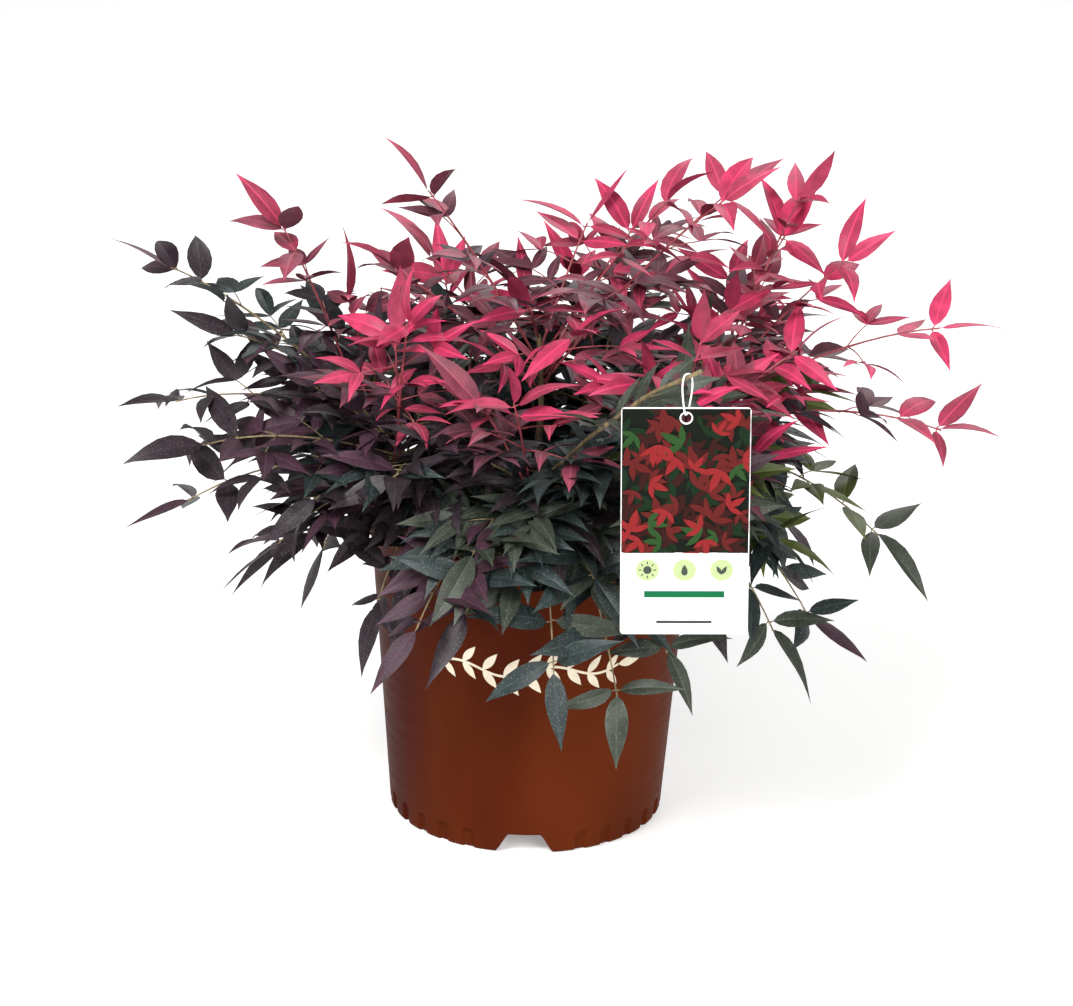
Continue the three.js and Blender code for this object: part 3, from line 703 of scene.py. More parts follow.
LIFTS, TILTS, ROLLS, LEAF_SIZES = (-0.25, 0.2), (-0.25, 0.45), (-0.5, 0.5), (0.92, 1.08)
FLATTEN = 0.5
FRONT_LEAN = vec(0, 0.25, 0)
TRIES = 12
SHRINK = 0.025
TURN_ON = 5
ROLL_ON = 0.16
MASK = 0xFFFFFFFF


# %% Seeded draws, canes and masses
def stream(seed):
    """A seeded stream of numbers from 0 to 1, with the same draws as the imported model's source."""
    state = seed & MASK

    def draw():
        nonlocal state
        state = (state + 0x6D2B79F5) & MASK
        t = ((state ^ (state >> 15)) * (state | 1)) & MASK
        t ^= (t + (((t ^ (t >> 7)) * (t | 61)) & MASK)) & MASK
        return ((t ^ (t >> 14)) & MASK) / 2**32

    return draw


def grow_canes():
    """The canes, each with its curve and the heart of the mass that it carries."""
    canes = []
    for ring in CANE_RINGS:
        for i in range(ring["count"]):
            angle = ring["first"] + i * 360 / ring["count"]
            foot = polar(ring["foot"] * MM, angle - CANE_TURN, SOIL_TOP_Z + CLEAR)
            tip = polar(ring["tip"] * MM, angle, ring["tip_z"] * MM)
            mid = mix(foot, tip, 0.5) + polar(-CANE_BOW * ring["tip"] * MM, angle, CANE_RISE)
            canes.append({
                "name": ring["name"] if ring["count"] == 1 else f"{ring['name']}_{i + 1}",
                "curve": Bend(foot, mid, tip),
                "thick": ring["thick"] * MM,
                "heart": polar(ring["heart"][0] * MM, angle, ring["heart"][1] * MM),
            })
    return canes


def grow_stem(cane):
    """The stem of a mass, which bends from its cane's tip towards the heart."""
    onward = cane["curve"].along(1)
    foot = cane["curve"].at(1) + onward * CLEAR
    top = mix(foot, cane["heart"], STEM["reach"])
    return Bend(foot, foot + onward * STEM["crest"] * np.linalg.norm(top - foot), top)


canes = grow_canes()
hearts = np.array([cane["heart"] for cane in canes])
masses = [{"name": cane["name"], "heart": cane["heart"], "stem": grow_stem(cane)} for cane in canes]
print("canes and masses:", len(canes))


# %% The headings of the fronds
def heading(azimuth, elevation):
    """The direction of an azimuth and elevation."""
    return polar(math.cos(elevation * DEG), azimuth, math.sin(elevation * DEG))


def crown_reach(azimuth, elevation):
    """How far the crown reaches from its middle, in millimetres."""
    less = CROWN_DEPTH * math.cos(elevation * DEG) * math.sin(azimuth * DEG) ** 2
    return float(np.interp(elevation, CROWN_ELEVATIONS, CROWN_REACHES)) * (1 - less)


def spread_headings(spread):
    """Headings spread evenly between two elevations, as (azimuth, elevation, reach)."""
    draw = stream(spread["seed"])
    low, high = math.sin(spread["low"] * DEG), math.sin(spread["high"] * DEG)
    found = []
    for i in range(spread["count"]):
        elevation = math.asin(mix(low, high, (i + 0.5) / spread["count"])) / DEG
        elevation += ELEVATION_JITTER * (draw() - 0.5)
        azimuth = (i * GOLDEN_TURN) % 360 - 180 + AZIMUTH_JITTER * (draw() - 0.5)
        share = mix(spread["least"], spread["most"], math.sqrt(draw()))
        past = PAST_RIM / math.cos(elevation * DEG) if elevation < 0 else 0
        found.append((azimuth, elevation, max(past, share * crown_reach(azimuth, elevation))))
    return found


def clear_of(found, others, apart):
    """The headings that are at least some degrees from all others."""
    ways = np.array([heading(*other[:2]) for other in others])
    return [way for way in found if np.arccos(np.clip(ways @ heading(*way[:2]), -1, 1)).min() > apart * DEG]


chosen = [LABEL_FROND, *LEADERS]
outer_headings = list(chosen)
for spread in SPREADS:
    outer_headings += clear_of(spread_headings(spread), chosen, spread["apart"])
print("outer fronds:", len(outer_headings))


# %% Fronds
class Frond:
    """A stalk that bows from a mass's stem towards its heading."""

    def __init__(self, mass, way, start, leaf_share=1.0):
        self.mass, self.way, self.leaf_share = mass, way, leaf_share
        self.seed = math.floor(1000 * (180 + way[0]) + 0.5)
        end = frond_end(way)
        climb = math.sqrt((way[1] - LOWEST) / (HIGHEST - LOWEST))
        self.lift = mix(LOW_LIFT, HIGH_LIFT, climb)
        self.tilt = LOW_TILT * (1 - climb) ** 4
        bow = mix(HIGH_BOW, LOW_BOW, (1 - climb) ** 2)
        crest = mix(start, end, CREST) + UP * 2 * bow * np.linalg.norm(end - start)
        self.curve = Bend(start, crest, end)
        self.labelled = way == LABEL_FROND
        self.joints = [self.curve.at(t) for t in FROND_JOINTS]

    def at(self, t):
        """The point at t. The stalk that carries the label is straight between its joints."""
        if not self.labelled:
            return self.curve.at(t)
        return vec(*[np.interp(t, FROND_JOINTS, [joint[axis] for joint in self.joints]) for axis in range(3)])


def frond_end(way):
    """Where the stalk of a frond ends: short of its reach by most of a leaf."""
    azimuth, elevation, reach = way
    return CROWN_MIDDLE + heading(azimuth, elevation) * (reach * MM - END_SHORT * END_LEAF * LEAF_LENGTH)


def room_in(mass, points):
    """How far each point is inside the mass's own space, next to the other hearts."""
    gaps = np.linalg.norm(hearts - mass["heart"], axis=1)
    others = gaps > 0
    away = ((points[:, None] - hearts[others]) ** 2).sum(2) - ((points - mass["heart"]) ** 2).sum(1)[:, None]
    return (away / (2 * gaps[others])).min(1)


def fronds_of(mass, headings, leaf_share=1.0):
    """The fronds that end in the mass's space. The lowest grow nearest the stem's foot."""
    own = [way for way in headings if room_in(mass, frond_end(way)[None])[0] > 0]
    own.sort(key=lambda way: way[1])
    starts = [mass["stem"].at(mix(STEM["first"], STEM["last"], (i + 1) / len(own))) for i in range(len(own))]
    return [Frond(mass, way, start, leaf_share) for way, start in zip(own, starts)]


for mass in masses:
    mass["fronds"] = fronds_of(mass, outer_headings)
labelled = next(frond for mass in masses for frond in mass["fronds"] if frond.labelled)
print("fronds in each mass:", [len(mass["fronds"]) for mass in masses])

# %% [markdown]
# ## The label's place
# The label hangs from one long frond at the front, by a closed plastic loop. Its place has to be known
# before any leaflet grows, because leaves are pushed aside in front of a label that is there to be read.

# %% Label and loop sizes
TAG_SIZE = (83 * MM, 155 * MM)
TAG_THICK = 0.7 * MM
TAG_HOLE_R = 3.5 * MM
TAG_HOLE_DROP = 7 * MM
TAG_AT = 0.91
TAG_LEAN = -1.3 * DEG
LOOP_R = 0.6 * MM
LOOP_HALF = 4 * MM
LOOP_HEIGHT = 27 * MM
LOOP_STEPS = 120
LOOP_SIDES = 10
LOOP_FOOT_TURN = 62
LABELLED_STALK = (1.6 * MM, 1.2 * MM)
TAG_FRONT = 120 * MM
TAG_BACK = 3 * MM
TAG_SIDE = 5 * MM

apex = labelled.at(TAG_AT) + UP * (mix(*LABELLED_STALK, TAG_AT) + CLEAR + LOOP_R)
strand = apex - UP * LOOP_HEIGHT
tag_low, tag_high = (np.array(corner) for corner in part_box("label"))
tag_space = (
    tag_low - [TAG_SIDE, TAG_FRONT, TAG_SIDE],
    vec(tag_high[0] + TAG_SIDE, tag_high[1] + TAG_BACK, apex[2] + TAG_SIDE),
)
print("label, m:", tag_low.round(3), tag_high.round(3))

# %% [markdown]
# ## Leaflets
# A leaflet is about 30 to 55 mm long and a third as wide, pointed at both ends and widest a little below
# its middle. It is folded along the midrib like a shallow keel, and it arches so that the tip hangs. Those
# two bends are what makes a crowd of leaves sparkle, so each leaflet is a real curved shape: two halves
# that meet in a crease, with a paler underside a fraction of a millimetre below.

# %% Leaflet shape
LEAF_STATIONS = np.array([0, 0.08, 0.2, 0.35, 0.52, 0.7, 0.87, 1])
LEAF_ACROSS = np.array([0, 0.5, 1])
BASE_POWER, TIP_POWER = 0.8, 1.45
LEAF_THICK = 0.35 * MM
TWIST_FROM = 0.3
UV_UNIT = 10 * MM


def width_share(u):
    """How wide a leaflet is at u along it, as a share of its widest."""
    widest = BASE_POWER / (BASE_POWER + TIP_POWER)
    return (u / widest) ** BASE_POWER * ((1 - u) / (1 - widest)) ** TIP_POWER


def sheet_faces(first, flipped):
    """The faces of one half of a leaflet: a point, rows of three and a point."""
    rows = len(LEAF_STATIONS) - 2
    at = [[first + 1 + 3 * k + q for q in range(3)] for k in range(rows)]
    tip = first + 1 + 3 * rows
    faces = [[first, at[0][q], at[0][q + 1]] for q in range(2)]
    for near, far in zip(at, at[1:]):
        faces += [[near[q], far[q], far[q + 1], near[q + 1]] for q in range(2)]
    faces += [[at[-1][q], tip, at[-1][q + 1]] for q in range(2)]
    return [face[::-1] for face in faces] if flipped else faces


SHEET_POINTS = 2 + 3 * (len(LEAF_STATIONS) - 2)
TOP_FACES = sheet_faces(0, False) + sheet_faces(SHEET_POINTS, True)
UNDER_FACES = sheet_faces(2 * SHEET_POINTS, True) + sheet_faces(3 * SHEET_POINTS, False)
WIDTHS = width_share(LEAF_STATIONS)
TAPER = np.sin(math.pi * LEAF_STATIONS) ** 0.5


def trimmed(grid):
    """A half's grid of points, with a single point at its base and at its tip."""
    return np.concatenate([grid[:1, 0], grid[1:-1].reshape(-1, grid.shape[-1]), grid[-1:, 0]])


def leaflet_points(base, out, up, length, form):
    """The points of a leaflet that starts at base and points along out, with its face towards up."""
    angle = form["arch"] * (0.5 - LEAF_STATIONS)
    x = (math.sin(form["arch"] / 2) - np.sin(angle)) / form["arch"]
    z = (np.cos(angle) - math.cos(form["arch"] / 2)) / form["arch"]
    spine = base + length * (np.outer(x, out) + np.outer(z, up))
    side = np.tile(np.cross(up, out), (len(angle), 1))
    normal = np.outer(-np.sin(angle), out) + np.outer(np.cos(angle), up)
    twist = (form["twist"] * (LEAF_STATIONS - TWIST_FROM))[:, None]
    turn = np.cos(twist), np.sin(twist)
    side, normal = side * turn[0] + normal * turn[1], normal * turn[0] - side * turn[1]
    half_width = (length * form["ratio"] / 2 * WIDTHS)[:, None]
    across = half_width * LEAF_ACROSS * math.cos(form["fold"])
    rise = half_width * (LEAF_ACROSS * math.sin(form["fold"]) - form["curl"] * LEAF_ACROSS**2)
    under = LEAF_THICK * TAPER[:, None] * (1 - LEAF_ACROSS**2)
    sheets, flats = [], []
    for drop in (0, under):
        for hand in (1, -1):
            sideways = (hand * across)[..., None] * side[:, None]
            grid = spine[:, None] + sideways + (rise - drop)[..., None] * normal[:, None]
            sheets.append(trimmed(grid))
            along = np.tile(LEAF_STATIONS[:, None] * length, 3)
            place = np.stack([along, hand * half_width * LEAF_ACROSS], axis=2)
            flats.append(trimmed(place) / UV_UNIT)
    return np.concatenate(sheets), np.concatenate(flats)


# %% [markdown]
# ### Leaf colours
# The colour of a leaf depends on its age, and leaves of one spray are of one age. So each spray is dealt
# a tint, from new crimson to old blue-green, and each tint is a material with a fine mottle of its own.
# A leaf is a thin waxy skin over pulp: its gloss is soft. The midrib shows as a slightly paler line.
# Old leaves carry dried water spots, as a pale speckle about a millimetre across.

# %% Leaf tints
# The face, the underside, and how strong the water spots are.
TINTS = {
    "new_crimson": ("#b9345a", "#a03653", 0.0),
    "coral_red": ("#aa3a56", "#913c50", 0.05),
    "rose_red": ("#8c4153", "#773e4e", 0.1),
    "maroon": ("#603541", "#553843", 0.2),
    "plum": ("#422a36", "#45343f", 0.4),
    "dark_plum": ("#30262c", "#3b3439", 0.6),
    "blue_green": ("#2b3534", "#3a4542", 0.9),
    "grey_green": ("#3d4238", "#4c5248", 0.8),
    "olive_green": ("#4c5626", "#64703c", 0.3),
}
TINT_GROUPS = {
    "red": ["new_crimson", "coral_red", "rose_red"],
    "dark": ["maroon", "plum", "dark_plum", "blue_green", "grey_green", "olive_green"],
}
print("leaf tints:", len(TINTS))

# %% Leaf materials
MOTTLE, MOTTLE_TONES = 9 * MM, (0.86, 1.1)
SHADE, SHADE_TONE = 45 * MM, 0.45
SPOT_SPACING, SPOT_COLOUR = 1.7 * MM, "#a9b0ab"
MIDRIB_HALF, MIDRIB_TONE = 0.35 * MM / UV_UNIT, 1.3
LEAF_IOR, LEAF_SPECULAR = 1.45, 0.3
LEAF_GLOSS = {"To Min": 0.36, "To Max": 0.56}
LEAF_CONTRAST = {"From Min": 0.3, "From Max": 0.7}
SHADE_FADE = {**LEAF_CONTRAST, "To Min": 0.45, "To Max": 0.0}
MIDRIB_FADE = {"From Min": MIDRIB_HALF, "From Max": 2.5 * MIDRIB_HALF, "To Min": 0.5, "To Max": 0.0}
SPOT_FADE = {"From Min": 0.05, "From Max": 0.28, "To Max": 0.0}
SPOT_MOST = 0.38


def darker(hex_colour, share):
    """A hex colour with each channel multiplied by a share."""
    return "#" + "".join(f"{min(255, round(int(hex_colour[i : i + 2], 16) * share)):02x}" for i in (1, 3, 5))


def waxy_leaf(name, colour, spots, midrib):
    """A leaf's skin: mottled colour, a paler midrib, water spots and a soft, uneven gloss."""
    material, shader = new_material(name, colour, 0.46, ior=LEAF_IOR, specular=LEAF_SPECULAR)
    coords = add_node(material, "ShaderNodeTexCoord").outputs
    place = {"Vector": coords["Object"]}
    mottle = add_node(material, "ShaderNodeTexNoise", {"Scale": per_metre(MOTTLE), "Detail": 5.0}, place)
    spread = add_node(material, "ShaderNodeMapRange", LEAF_CONTRAST, {"Value": mottle})
    skin = blend_colours(material, spread, *(darker(colour, tone) for tone in MOTTLE_TONES))
    shade = add_node(material, "ShaderNodeTexNoise", {"Scale": per_metre(SHADE), "Detail": 1.0}, place)
    depth = add_node(material, "ShaderNodeMapRange", SHADE_FADE, {"Value": shade})
    skin = blend_colours(material, depth, skin, darker(colour, SHADE_TONE))
    if midrib:
        across = add_node(material, "ShaderNodeSeparateXYZ", links={0: coords["UV"]}).outputs["Y"]
        away = add_node(material, "ShaderNodeMath", {"operation": "ABSOLUTE"}, {0: across})
        line = add_node(material, "ShaderNodeMapRange", MIDRIB_FADE, {"Value": away})
        skin = blend_colours(material, line, skin, darker(colour, MIDRIB_TONE))
    if spots:
        cells = add_node(material, "ShaderNodeTexVoronoi", {"Scale": per_metre(SPOT_SPACING)}, place)
        fade = {**SPOT_FADE, "To Min": spots * SPOT_MOST}
        dot = add_node(material, "ShaderNodeMapRange", fade, {"Value": cells})
        skin = blend_colours(material, dot, skin, SPOT_COLOUR)
    feed(shader, "Base Color", skin)
    feed(shader, "Roughness", add_node(material, "ShaderNodeMapRange", LEAF_GLOSS, {"Value": mottle}))
    return material


leaf_looks, look_of = {}, {}
for group, tints in TINT_GROUPS.items():
    leaf_looks[group] = []
    for tint in tints:
        face, under, spots = TINTS[tint]
        look_of[tint] = group, len(leaf_looks[group])
        leaf_looks[group] += [
            waxy_leaf(f"leaf_face_{tint}", face, spots, midrib=True),
            waxy_leaf(f"leaf_under_{tint}", under, spots / 3, midrib=False),
        ]
print("leaf finishes:", sum(len(looks) for looks in leaf_looks.values()))

# %% Stalk materials
BARK_STRETCH = (1, 1, 0.25)
YOUNG, OLD = 0, 1


def bark_skin(name, low, high, grain, roughness):
    """The skin of a stalk or cane: streaks along it, as wide as grain."""
    material, shader = new_material(name, high, roughness)
    place = add_node(material, "ShaderNodeTexCoord").outputs["Object"]
    tall = add_node(material, "ShaderNodeMapping", {"Scale": BARK_STRETCH}, {"Vector": place})
    grained = {"Scale": per_metre(grain), "Detail": 4.0}
    streaks = add_node(material, "ShaderNodeTexNoise", grained, {"Vector": tall})
    spread = add_node(material, "ShaderNodeMapRange", CONTRAST, {"Value": streaks})
    feed(shader, "Base Color", blend_colours(material, spread, low, high))
    return material


STALK_LOOKS = [
    bark_skin("young_red_stalk", "#7a2e38", "#a84a52", 4 * MM, 0.5),
    bark_skin("old_tan_stalk", "#5c4c36", "#8a7a56", 4 * MM, 0.6),
]

# %% [markdown]
# ### Sprays
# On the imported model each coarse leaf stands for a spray. Here the same draws place it, and it becomes a
# single leaflet near the frond's end, three leaflets on a stalk further in, and five near the foot. The
# pair at the end rises and falls a little, so that an end shows three leaflets from the side as well.
# A spray that would leave the crown, or cover the label, tries the next way, as the source's leaves do.
# More fronds, shorter and darker, fill the inside of the crown, where old leaves stay.

# %% Spray rules
# Each leaflet of a spray is (how far along the stalk, its turn, its share of the length).
SPRAY_KINDS = {
    "one": [(1, 0, 1)],
    "three": [(1, 0, 1), (1, 50, 0.86), (1, -50, 0.86)],
    "five": [(1, 0, 1), (1, 48, 0.86), (1, -48, 0.86), (0.4, 56, 0.8), (0.4, -56, 0.8)],
}
NODE_SPRAYS = ("five", "three", "one")
LEAFLET_SIZES = {"new": 37 * MM, "old": 48 * MM}
SINGLE_LEAF = 1.28
SHORTEST_TWIG = 0.05
INNER_SPREAD = {"count": 60, "low": 0, "high": 42, "least": 0.4, "most": 0.68, "seed": 19}
INNER_LEAF_SHARE = 0.92
INNER_NODES = (0.5, 0.74)
INNER_NODE_SPRAYS = ("five", "three")
FORM = {
    "fold": (0.12, 0.5), "arch": (0.1, 1.0), "twist": (-0.6, 0.6), "curl": (0.05, 0.35),
    "ratio": (0.27, 0.35),
}
LEAFLET_ROLL, LEAFLET_PITCH, LEAFLET_DROOP, LEAFLET_SWING = 0.5, 0.3, 0.1, 26
LEAFLET_SHARES = (0.84, 1.12)
TIP_AT, PAIR_AT = 0.985, 0.97
PAIR_LEAF = 0.9
END_RISE = 0.55
AT_JITTER, TURN_JITTER = 0.02, 14
STALK_R = (1 * MM, 0.5 * MM)
TWIG_R = (0.55 * MM, 0.4 * MM)
TWIG_CREST = (0.5, 0.08)
KNOT, KNOT_HALF = 1.25, 0.05
STALK_STEPS, STALK_SIDES = 14, 6
TWIG_STEPS, TWIG_SIDES = 4, 5
STEM_STEPS, STEM_SIDES = 20, 10
POT_KEEP = 4 * MM
CANE_KEEP = 4 * MM
SPILL = 28 * MM
CELL_KEEP = 0.5 * MM
CANE_TESTS, STALK_TESTS = 12, 16

box_low, box_high = (np.array(corner) for corner in cad_box)
cane_line = np.concatenate([points_along(cane["curve"], CANE_TESTS) for cane in canes])


def in_pot(points):
    """Whether each point is in the pot or just over its rim."""
    return (points[:, 2] < POT_HEIGHT + POT_KEEP) & (np.hypot(points[:, 0], points[:, 1]) < RIM_R + POT_KEEP)


def in_tag_space(points):
    """Whether each point is in front of the label."""
    return ((points > tag_space[0]) & (points < tag_space[1])).all(1)


def leaf_fits(points, mass):
    """Whether a leaflet keeps to the crown, and off the pot and the label."""
    inside = ((points > box_low) & (points < box_high)).all()
    clear = not in_pot(points).any() and not in_tag_space(points).any()
    return inside and clear and (room_in(mass, points) > -SPILL).all()


def stalk_fits(frond):
    """Whether a frond's stalk keeps to its own space, and off the pot, the canes and the label."""
    points = np.array(points_along(frond, STALK_TESTS)[1:])
    near = np.linalg.norm(points[:, None] - cane_line, axis=2).min()
    kept = (room_in(frond.mass, points) > CELL_KEEP).all() and not in_pot(points).any() and near > CANE_KEEP
    return kept and (frond.labelled or not in_tag_space(points).any())


# %% Leaves of a frond
def leaves_of(frond, nodes, kinds):
    """Where each spray of a frond is rooted, and how it points and turns, with the source's draws."""
    draw = stream(frond.seed)
    leaves = []

    def add(t, turn, share, kind, rise=0):
        leaves.append({
            "t": t + AT_JITTER * (draw() - 0.5),
            "turn": turn + TURN_JITTER * (draw() - 0.5),
            "climb": 1 if turn == 0 else FLATTEN,
            "rise": rise,
            "lift": frond.lift + mix(*LIFTS, draw()),
            "tilt": frond.tilt + mix(*TILTS, draw()),
            "roll": mix(*ROLLS, draw()),
            "length": frond.leaf_share * share * LEAF_LENGTH * mix(*LEAF_SIZES, draw()),
            "kind": kind,
        })

    add(TIP_AT, 0, END_LEAF, "one")
    add(PAIR_AT, END_TURN, PAIR_LEAF * END_LEAF, "one", END_RISE)
    add(PAIR_AT, -END_TURN, PAIR_LEAF * END_LEAF, "one", -END_RISE)
    for t, kind, share in zip(nodes, kinds, NODE_LEAVES):
        add(t, LEAF_SPREAD, share, kind)
        add(t, -LEAF_SPREAD, share, kind)
    return leaves


def way_of(frond, leaf, tried):
    """The root, direction, facing and length of a spray at one of its tries."""
    swing = tried if tried % 2 else -tried
    turn = (leaf["turn"] + swing * TURN_ON) * DEG
    along = frond.curve.along(leaf["t"])
    side = unit(np.cross(UP, along))
    out = (along * math.cos(turn) + side * math.sin(turn)) * [1, 1, leaf["climb"]]
    out = unit(out + UP * leaf["lift"] + np.cross(along, side) * leaf["rise"])
    up = polar(leaf["tilt"], frond.way[0], 1) - FRONT_LEAN + side * (leaf["roll"] + swing * ROLL_ON)
    return frond.at(leaf["t"]), out, unit(up - out * up.dot(out)), leaf["length"] * (1 - tried * SHRINK)


def grow_spray(root, out, up, length, kind, blade, draw):
    """The stalk of a spray as a curve, and its leaflets as (base, out, up, length, form)."""
    blade = min(blade * SINGLE_LEAF if kind == "one" else blade, (1 - SHORTEST_TWIG) * length)
    reach = SHORTEST_TWIG * length if kind == "one" else length - blade
    twig = Bend(root, root + out * TWIG_CREST[0] * reach + up * TWIG_CREST[1] * reach, root + out * reach)
    side = np.cross(up, out)
    leaflets = []
    for at, turn, share in SPRAY_KINDS[kind]:
        bearing = (turn + LEAFLET_SWING * (draw() - 0.5)) * DEG
        ahead = out * math.cos(bearing) + side * math.sin(bearing) - UP * LEAFLET_DROOP * draw()
        ahead = unit(ahead + up * LEAFLET_PITCH * (draw() - 0.5))
        face = up + np.cross(up, ahead) * LEAFLET_ROLL * 2 * (draw() - 0.5)
        face = unit(face - ahead * face.dot(ahead))
        form = {name: mix(low, high, draw()) for name, (low, high) in FORM.items()}
        leaflets.append((twig.at(at), ahead, face, blade * share * mix(*LEAFLET_SHARES, draw()), form))
    return twig, leaflets


# %% The age of a frond
# A leaf takes the first tint whose limit is over its age, or an old one. An old tint that is listed
# twice is dealt twice as often. Right is the cosine of a frond's azimuth, from -1 on the left to 1.
AGES = [
    (0.22, "new_crimson"), (0.36, "coral_red"), (0.5, "rose_red"), (0.64, "maroon"), (0.78, "plum"),
]
OLD_TINTS = {
    "left": ["dark_plum", "plum", "dark_plum", "blue_green", "dark_plum"],
    "middle": ["blue_green", "grey_green", "dark_plum", "blue_green", "grey_green", "blue_green"],
    "right": ["grey_green", "dark_plum", "blue_green", "grey_green", "olive_green"],
}
RED_FROM = {"middle": 33, "right": 13}
RED_BAND = 18
RIGHT_FROM, RIGHT_BAND = 0.4, 0.5
WEST_FROM, WEST_BAND = 0.85, 0.13
LEFT_TO, RIGHT_TO = -0.4, 0.5
TINT_CHANGE = 0.3
SPRAY_AGE = 0.26
OLD_AGE, NEW_AGE, INNER_NEW_AGE = 0.92, 0.06, 0.88
WEST_AGE, TOP_AGE, INWARD_AGE, AGE_JITTER = 0.3, 0.22, 0.9, 0.24
TOP_FROM = 52
INWARD_FROM = 0.8
STALK_TURNS_OLD = 0.5


def frond_age(frond, draw):
    """The age of a frond's end, from 0 for new and crimson to 1 for old and dark."""
    azimuth, elevation, _ = frond.way
    right = math.cos(azimuth * DEG)
    line = mix(RED_FROM["middle"], RED_FROM["right"], smooth_step((right - RIGHT_FROM) / RIGHT_BAND))
    lit = smooth_step((elevation - line) / RED_BAND + 0.5)
    west = smooth_step((-right - WEST_FROM) / WEST_BAND)
    top = TOP_AGE * draw() if elevation > TOP_FROM else 0
    newest = NEW_AGE + WEST_AGE * west + top if frond.leaf_share == 1 else INNER_NEW_AGE
    return mix(OLD_AGE, newest, lit) + AGE_JITTER * (draw() - 0.5)


def old_tint_of(frond, draw):
    """The tint that a frond's leaves end with."""
    right = math.cos(frond.way[0] * DEG)
    tints = OLD_TINTS["left" if right < LEFT_TO else "right" if right > RIGHT_TO else "middle"]
    return tints[int(draw() * len(tints))]


def tint_at(age, old_tint):
    """The tint of an age."""
    return next((tint for limit, tint in AGES if age < limit), old_tint)


# %% Grow every mass
def plant_frond(frond, nodes, kinds):
    """Adds a frond's stalk and sprays to its mass's heaps. Returns the number of leaflets."""
    mass = frond.mass
    draw = stream(frond.seed + 1)
    age = frond_age(frond, draw)
    old_tint = old_tint_of(frond, draw)
    stalk_look = YOUNG if age < STALK_TURNS_OLD else OLD
    foot_r, tip_r = LABELLED_STALK if frond.labelled else STALK_R
    shares = np.linspace(0, 1, STALK_STEPS)
    knots = [KNOT if min(abs(t - node) for node in (*nodes, 1)) < KNOT_HALF else 1 for t in shares]
    radii = [mix(foot_r, tip_r, t) * knot for t, knot in zip(shares, knots)]
    add_tube(mass["stalks"], points_along(frond, STALK_STEPS), radii, STALK_SIDES, stalk_look)
    planted = 0
    for leaf in leaves_of(frond, nodes, kinds):
        spray_age = age + INWARD_AGE * max(0, INWARD_FROM - leaf["t"]) + SPRAY_AGE * (draw() - 0.5)
        old_tint = old_tint_of(frond, draw) if draw() < TINT_CHANGE else old_tint
        group, look = look_of[tint_at(spray_age, old_tint)]
        blade = mix(LEAFLET_SIZES["new"], LEAFLET_SIZES["old"], smooth_step(spray_age))
        for tried in range(TRIES):
            twig, leaflets = grow_spray(*way_of(frond, leaf, tried), leaf["kind"], blade, draw)
            blades = [leaflet_points(*leaflet) for leaflet in leaflets]
            if all(leaf_fits(points, mass) for points, _ in blades):
                radii = np.linspace(*TWIG_R, TWIG_STEPS)
                add_tube(mass["stalks"], points_along(twig, TWIG_STEPS), radii, TWIG_SIDES, stalk_look)
                looks = [look] * len(TOP_FACES) + [look + 1] * len(UNDER_FACES)
                for points, flat in blades:
                    mass[group].add(points, TOP_FACES + UNDER_FACES, looks, flat)
                planted += len(blades)
                break
    return planted


inner_headings = spread_headings(INNER_SPREAD)
total = 0
for mass in masses:
    mass["red"], mass["dark"], mass["stalks"] = Heap(), Heap(), Heap()
    radii = np.linspace(STEM["foot"], STEM["tip"], STEM_STEPS)
    add_tube(mass["stalks"], points_along(mass["stem"], STEM_STEPS), radii, STEM_SIDES, OLD)
    for frond in mass["fronds"]:
        if stalk_fits(frond):
            total += plant_frond(frond, FROND_NODES, NODE_SPRAYS)
    for frond in fronds_of(mass, inner_headings, INNER_LEAF_SHARE):
        if stalk_fits(frond):
            total += plant_frond(frond, INNER_NODES, INNER_NODE_SPRAYS)
print("leaflets:", total)

for mass in masses:
    node = f"leaves_{mass['name']}"
    keep(mass["stalks"].make(f"stalks_{mass['name']}", STALK_LOOKS), "bark", node)
    for group, slot in (("dark", "leaf_plum"), ("red", "leaf_crimson")):
        if mass[group].count:
            keep(mass[group].make(f"{group}_leaflets_{mass['name']}", leaf_looks[group]), slot, node)

# %% [markdown]
# ## Canes
# The canes are woody, brown and ringed by the scars of old leaves, with fine fissures along them. The
# packed canes have six plain sides, so each is replaced by a tube along the same curve and of the same
# thickness, with the rings and fissures as relief.

# %% Cane relief
CANE_SIDES = 28
CANE_STEPS = 70
FLARE_SHARE = 0.1
RING_SPACING = 17 * MM
RING_RELIEF = 0.09
FISSURES = 9
FISSURE_RELIEF = 0.05
FISSURE_WANDER = 1.5

bark = bark_skin("ridged_brown_bark", "#3f2f26", "#7c6350", 2.5 * MM, 0.85)
for cane in canes:
    shares = np.linspace(0, 1, CANE_STEPS)
    path = points_along(cane["curve"], CANE_STEPS)
    runs = np.concatenate([[0], np.cumsum(np.linalg.norm(np.diff(path, axis=0), axis=1))])
    radii = cane["thick"] * mix(1, CANE_TIP_SHARE, shares)
    radii *= 1 + (CANE_FLARE - 1) * np.clip(1 - shares / FLARE_SHARE, 0, 1) ** 2
    scars = 1 + RING_RELIEF * np.maximum(0, np.cos(runs / RING_SPACING * 2 * math.pi)) ** 8

    def relief_at(ring, angles):
        """The scale of the radius round one ring."""
        wander = FISSURE_WANDER * math.sin(runs[ring] / RING_SPACING)
        return scars[ring] * (1 + FISSURE_RELIEF * (np.sin(FISSURES * angles + wander) - 0.5))

    heap = Heap()
    add_tube(heap, path, radii, CANE_SIDES, bumps=relief_at)
    keep(heap.make(f"bark_{cane['name']}", [bark]), "bark", f"cane_{cane['name']}")

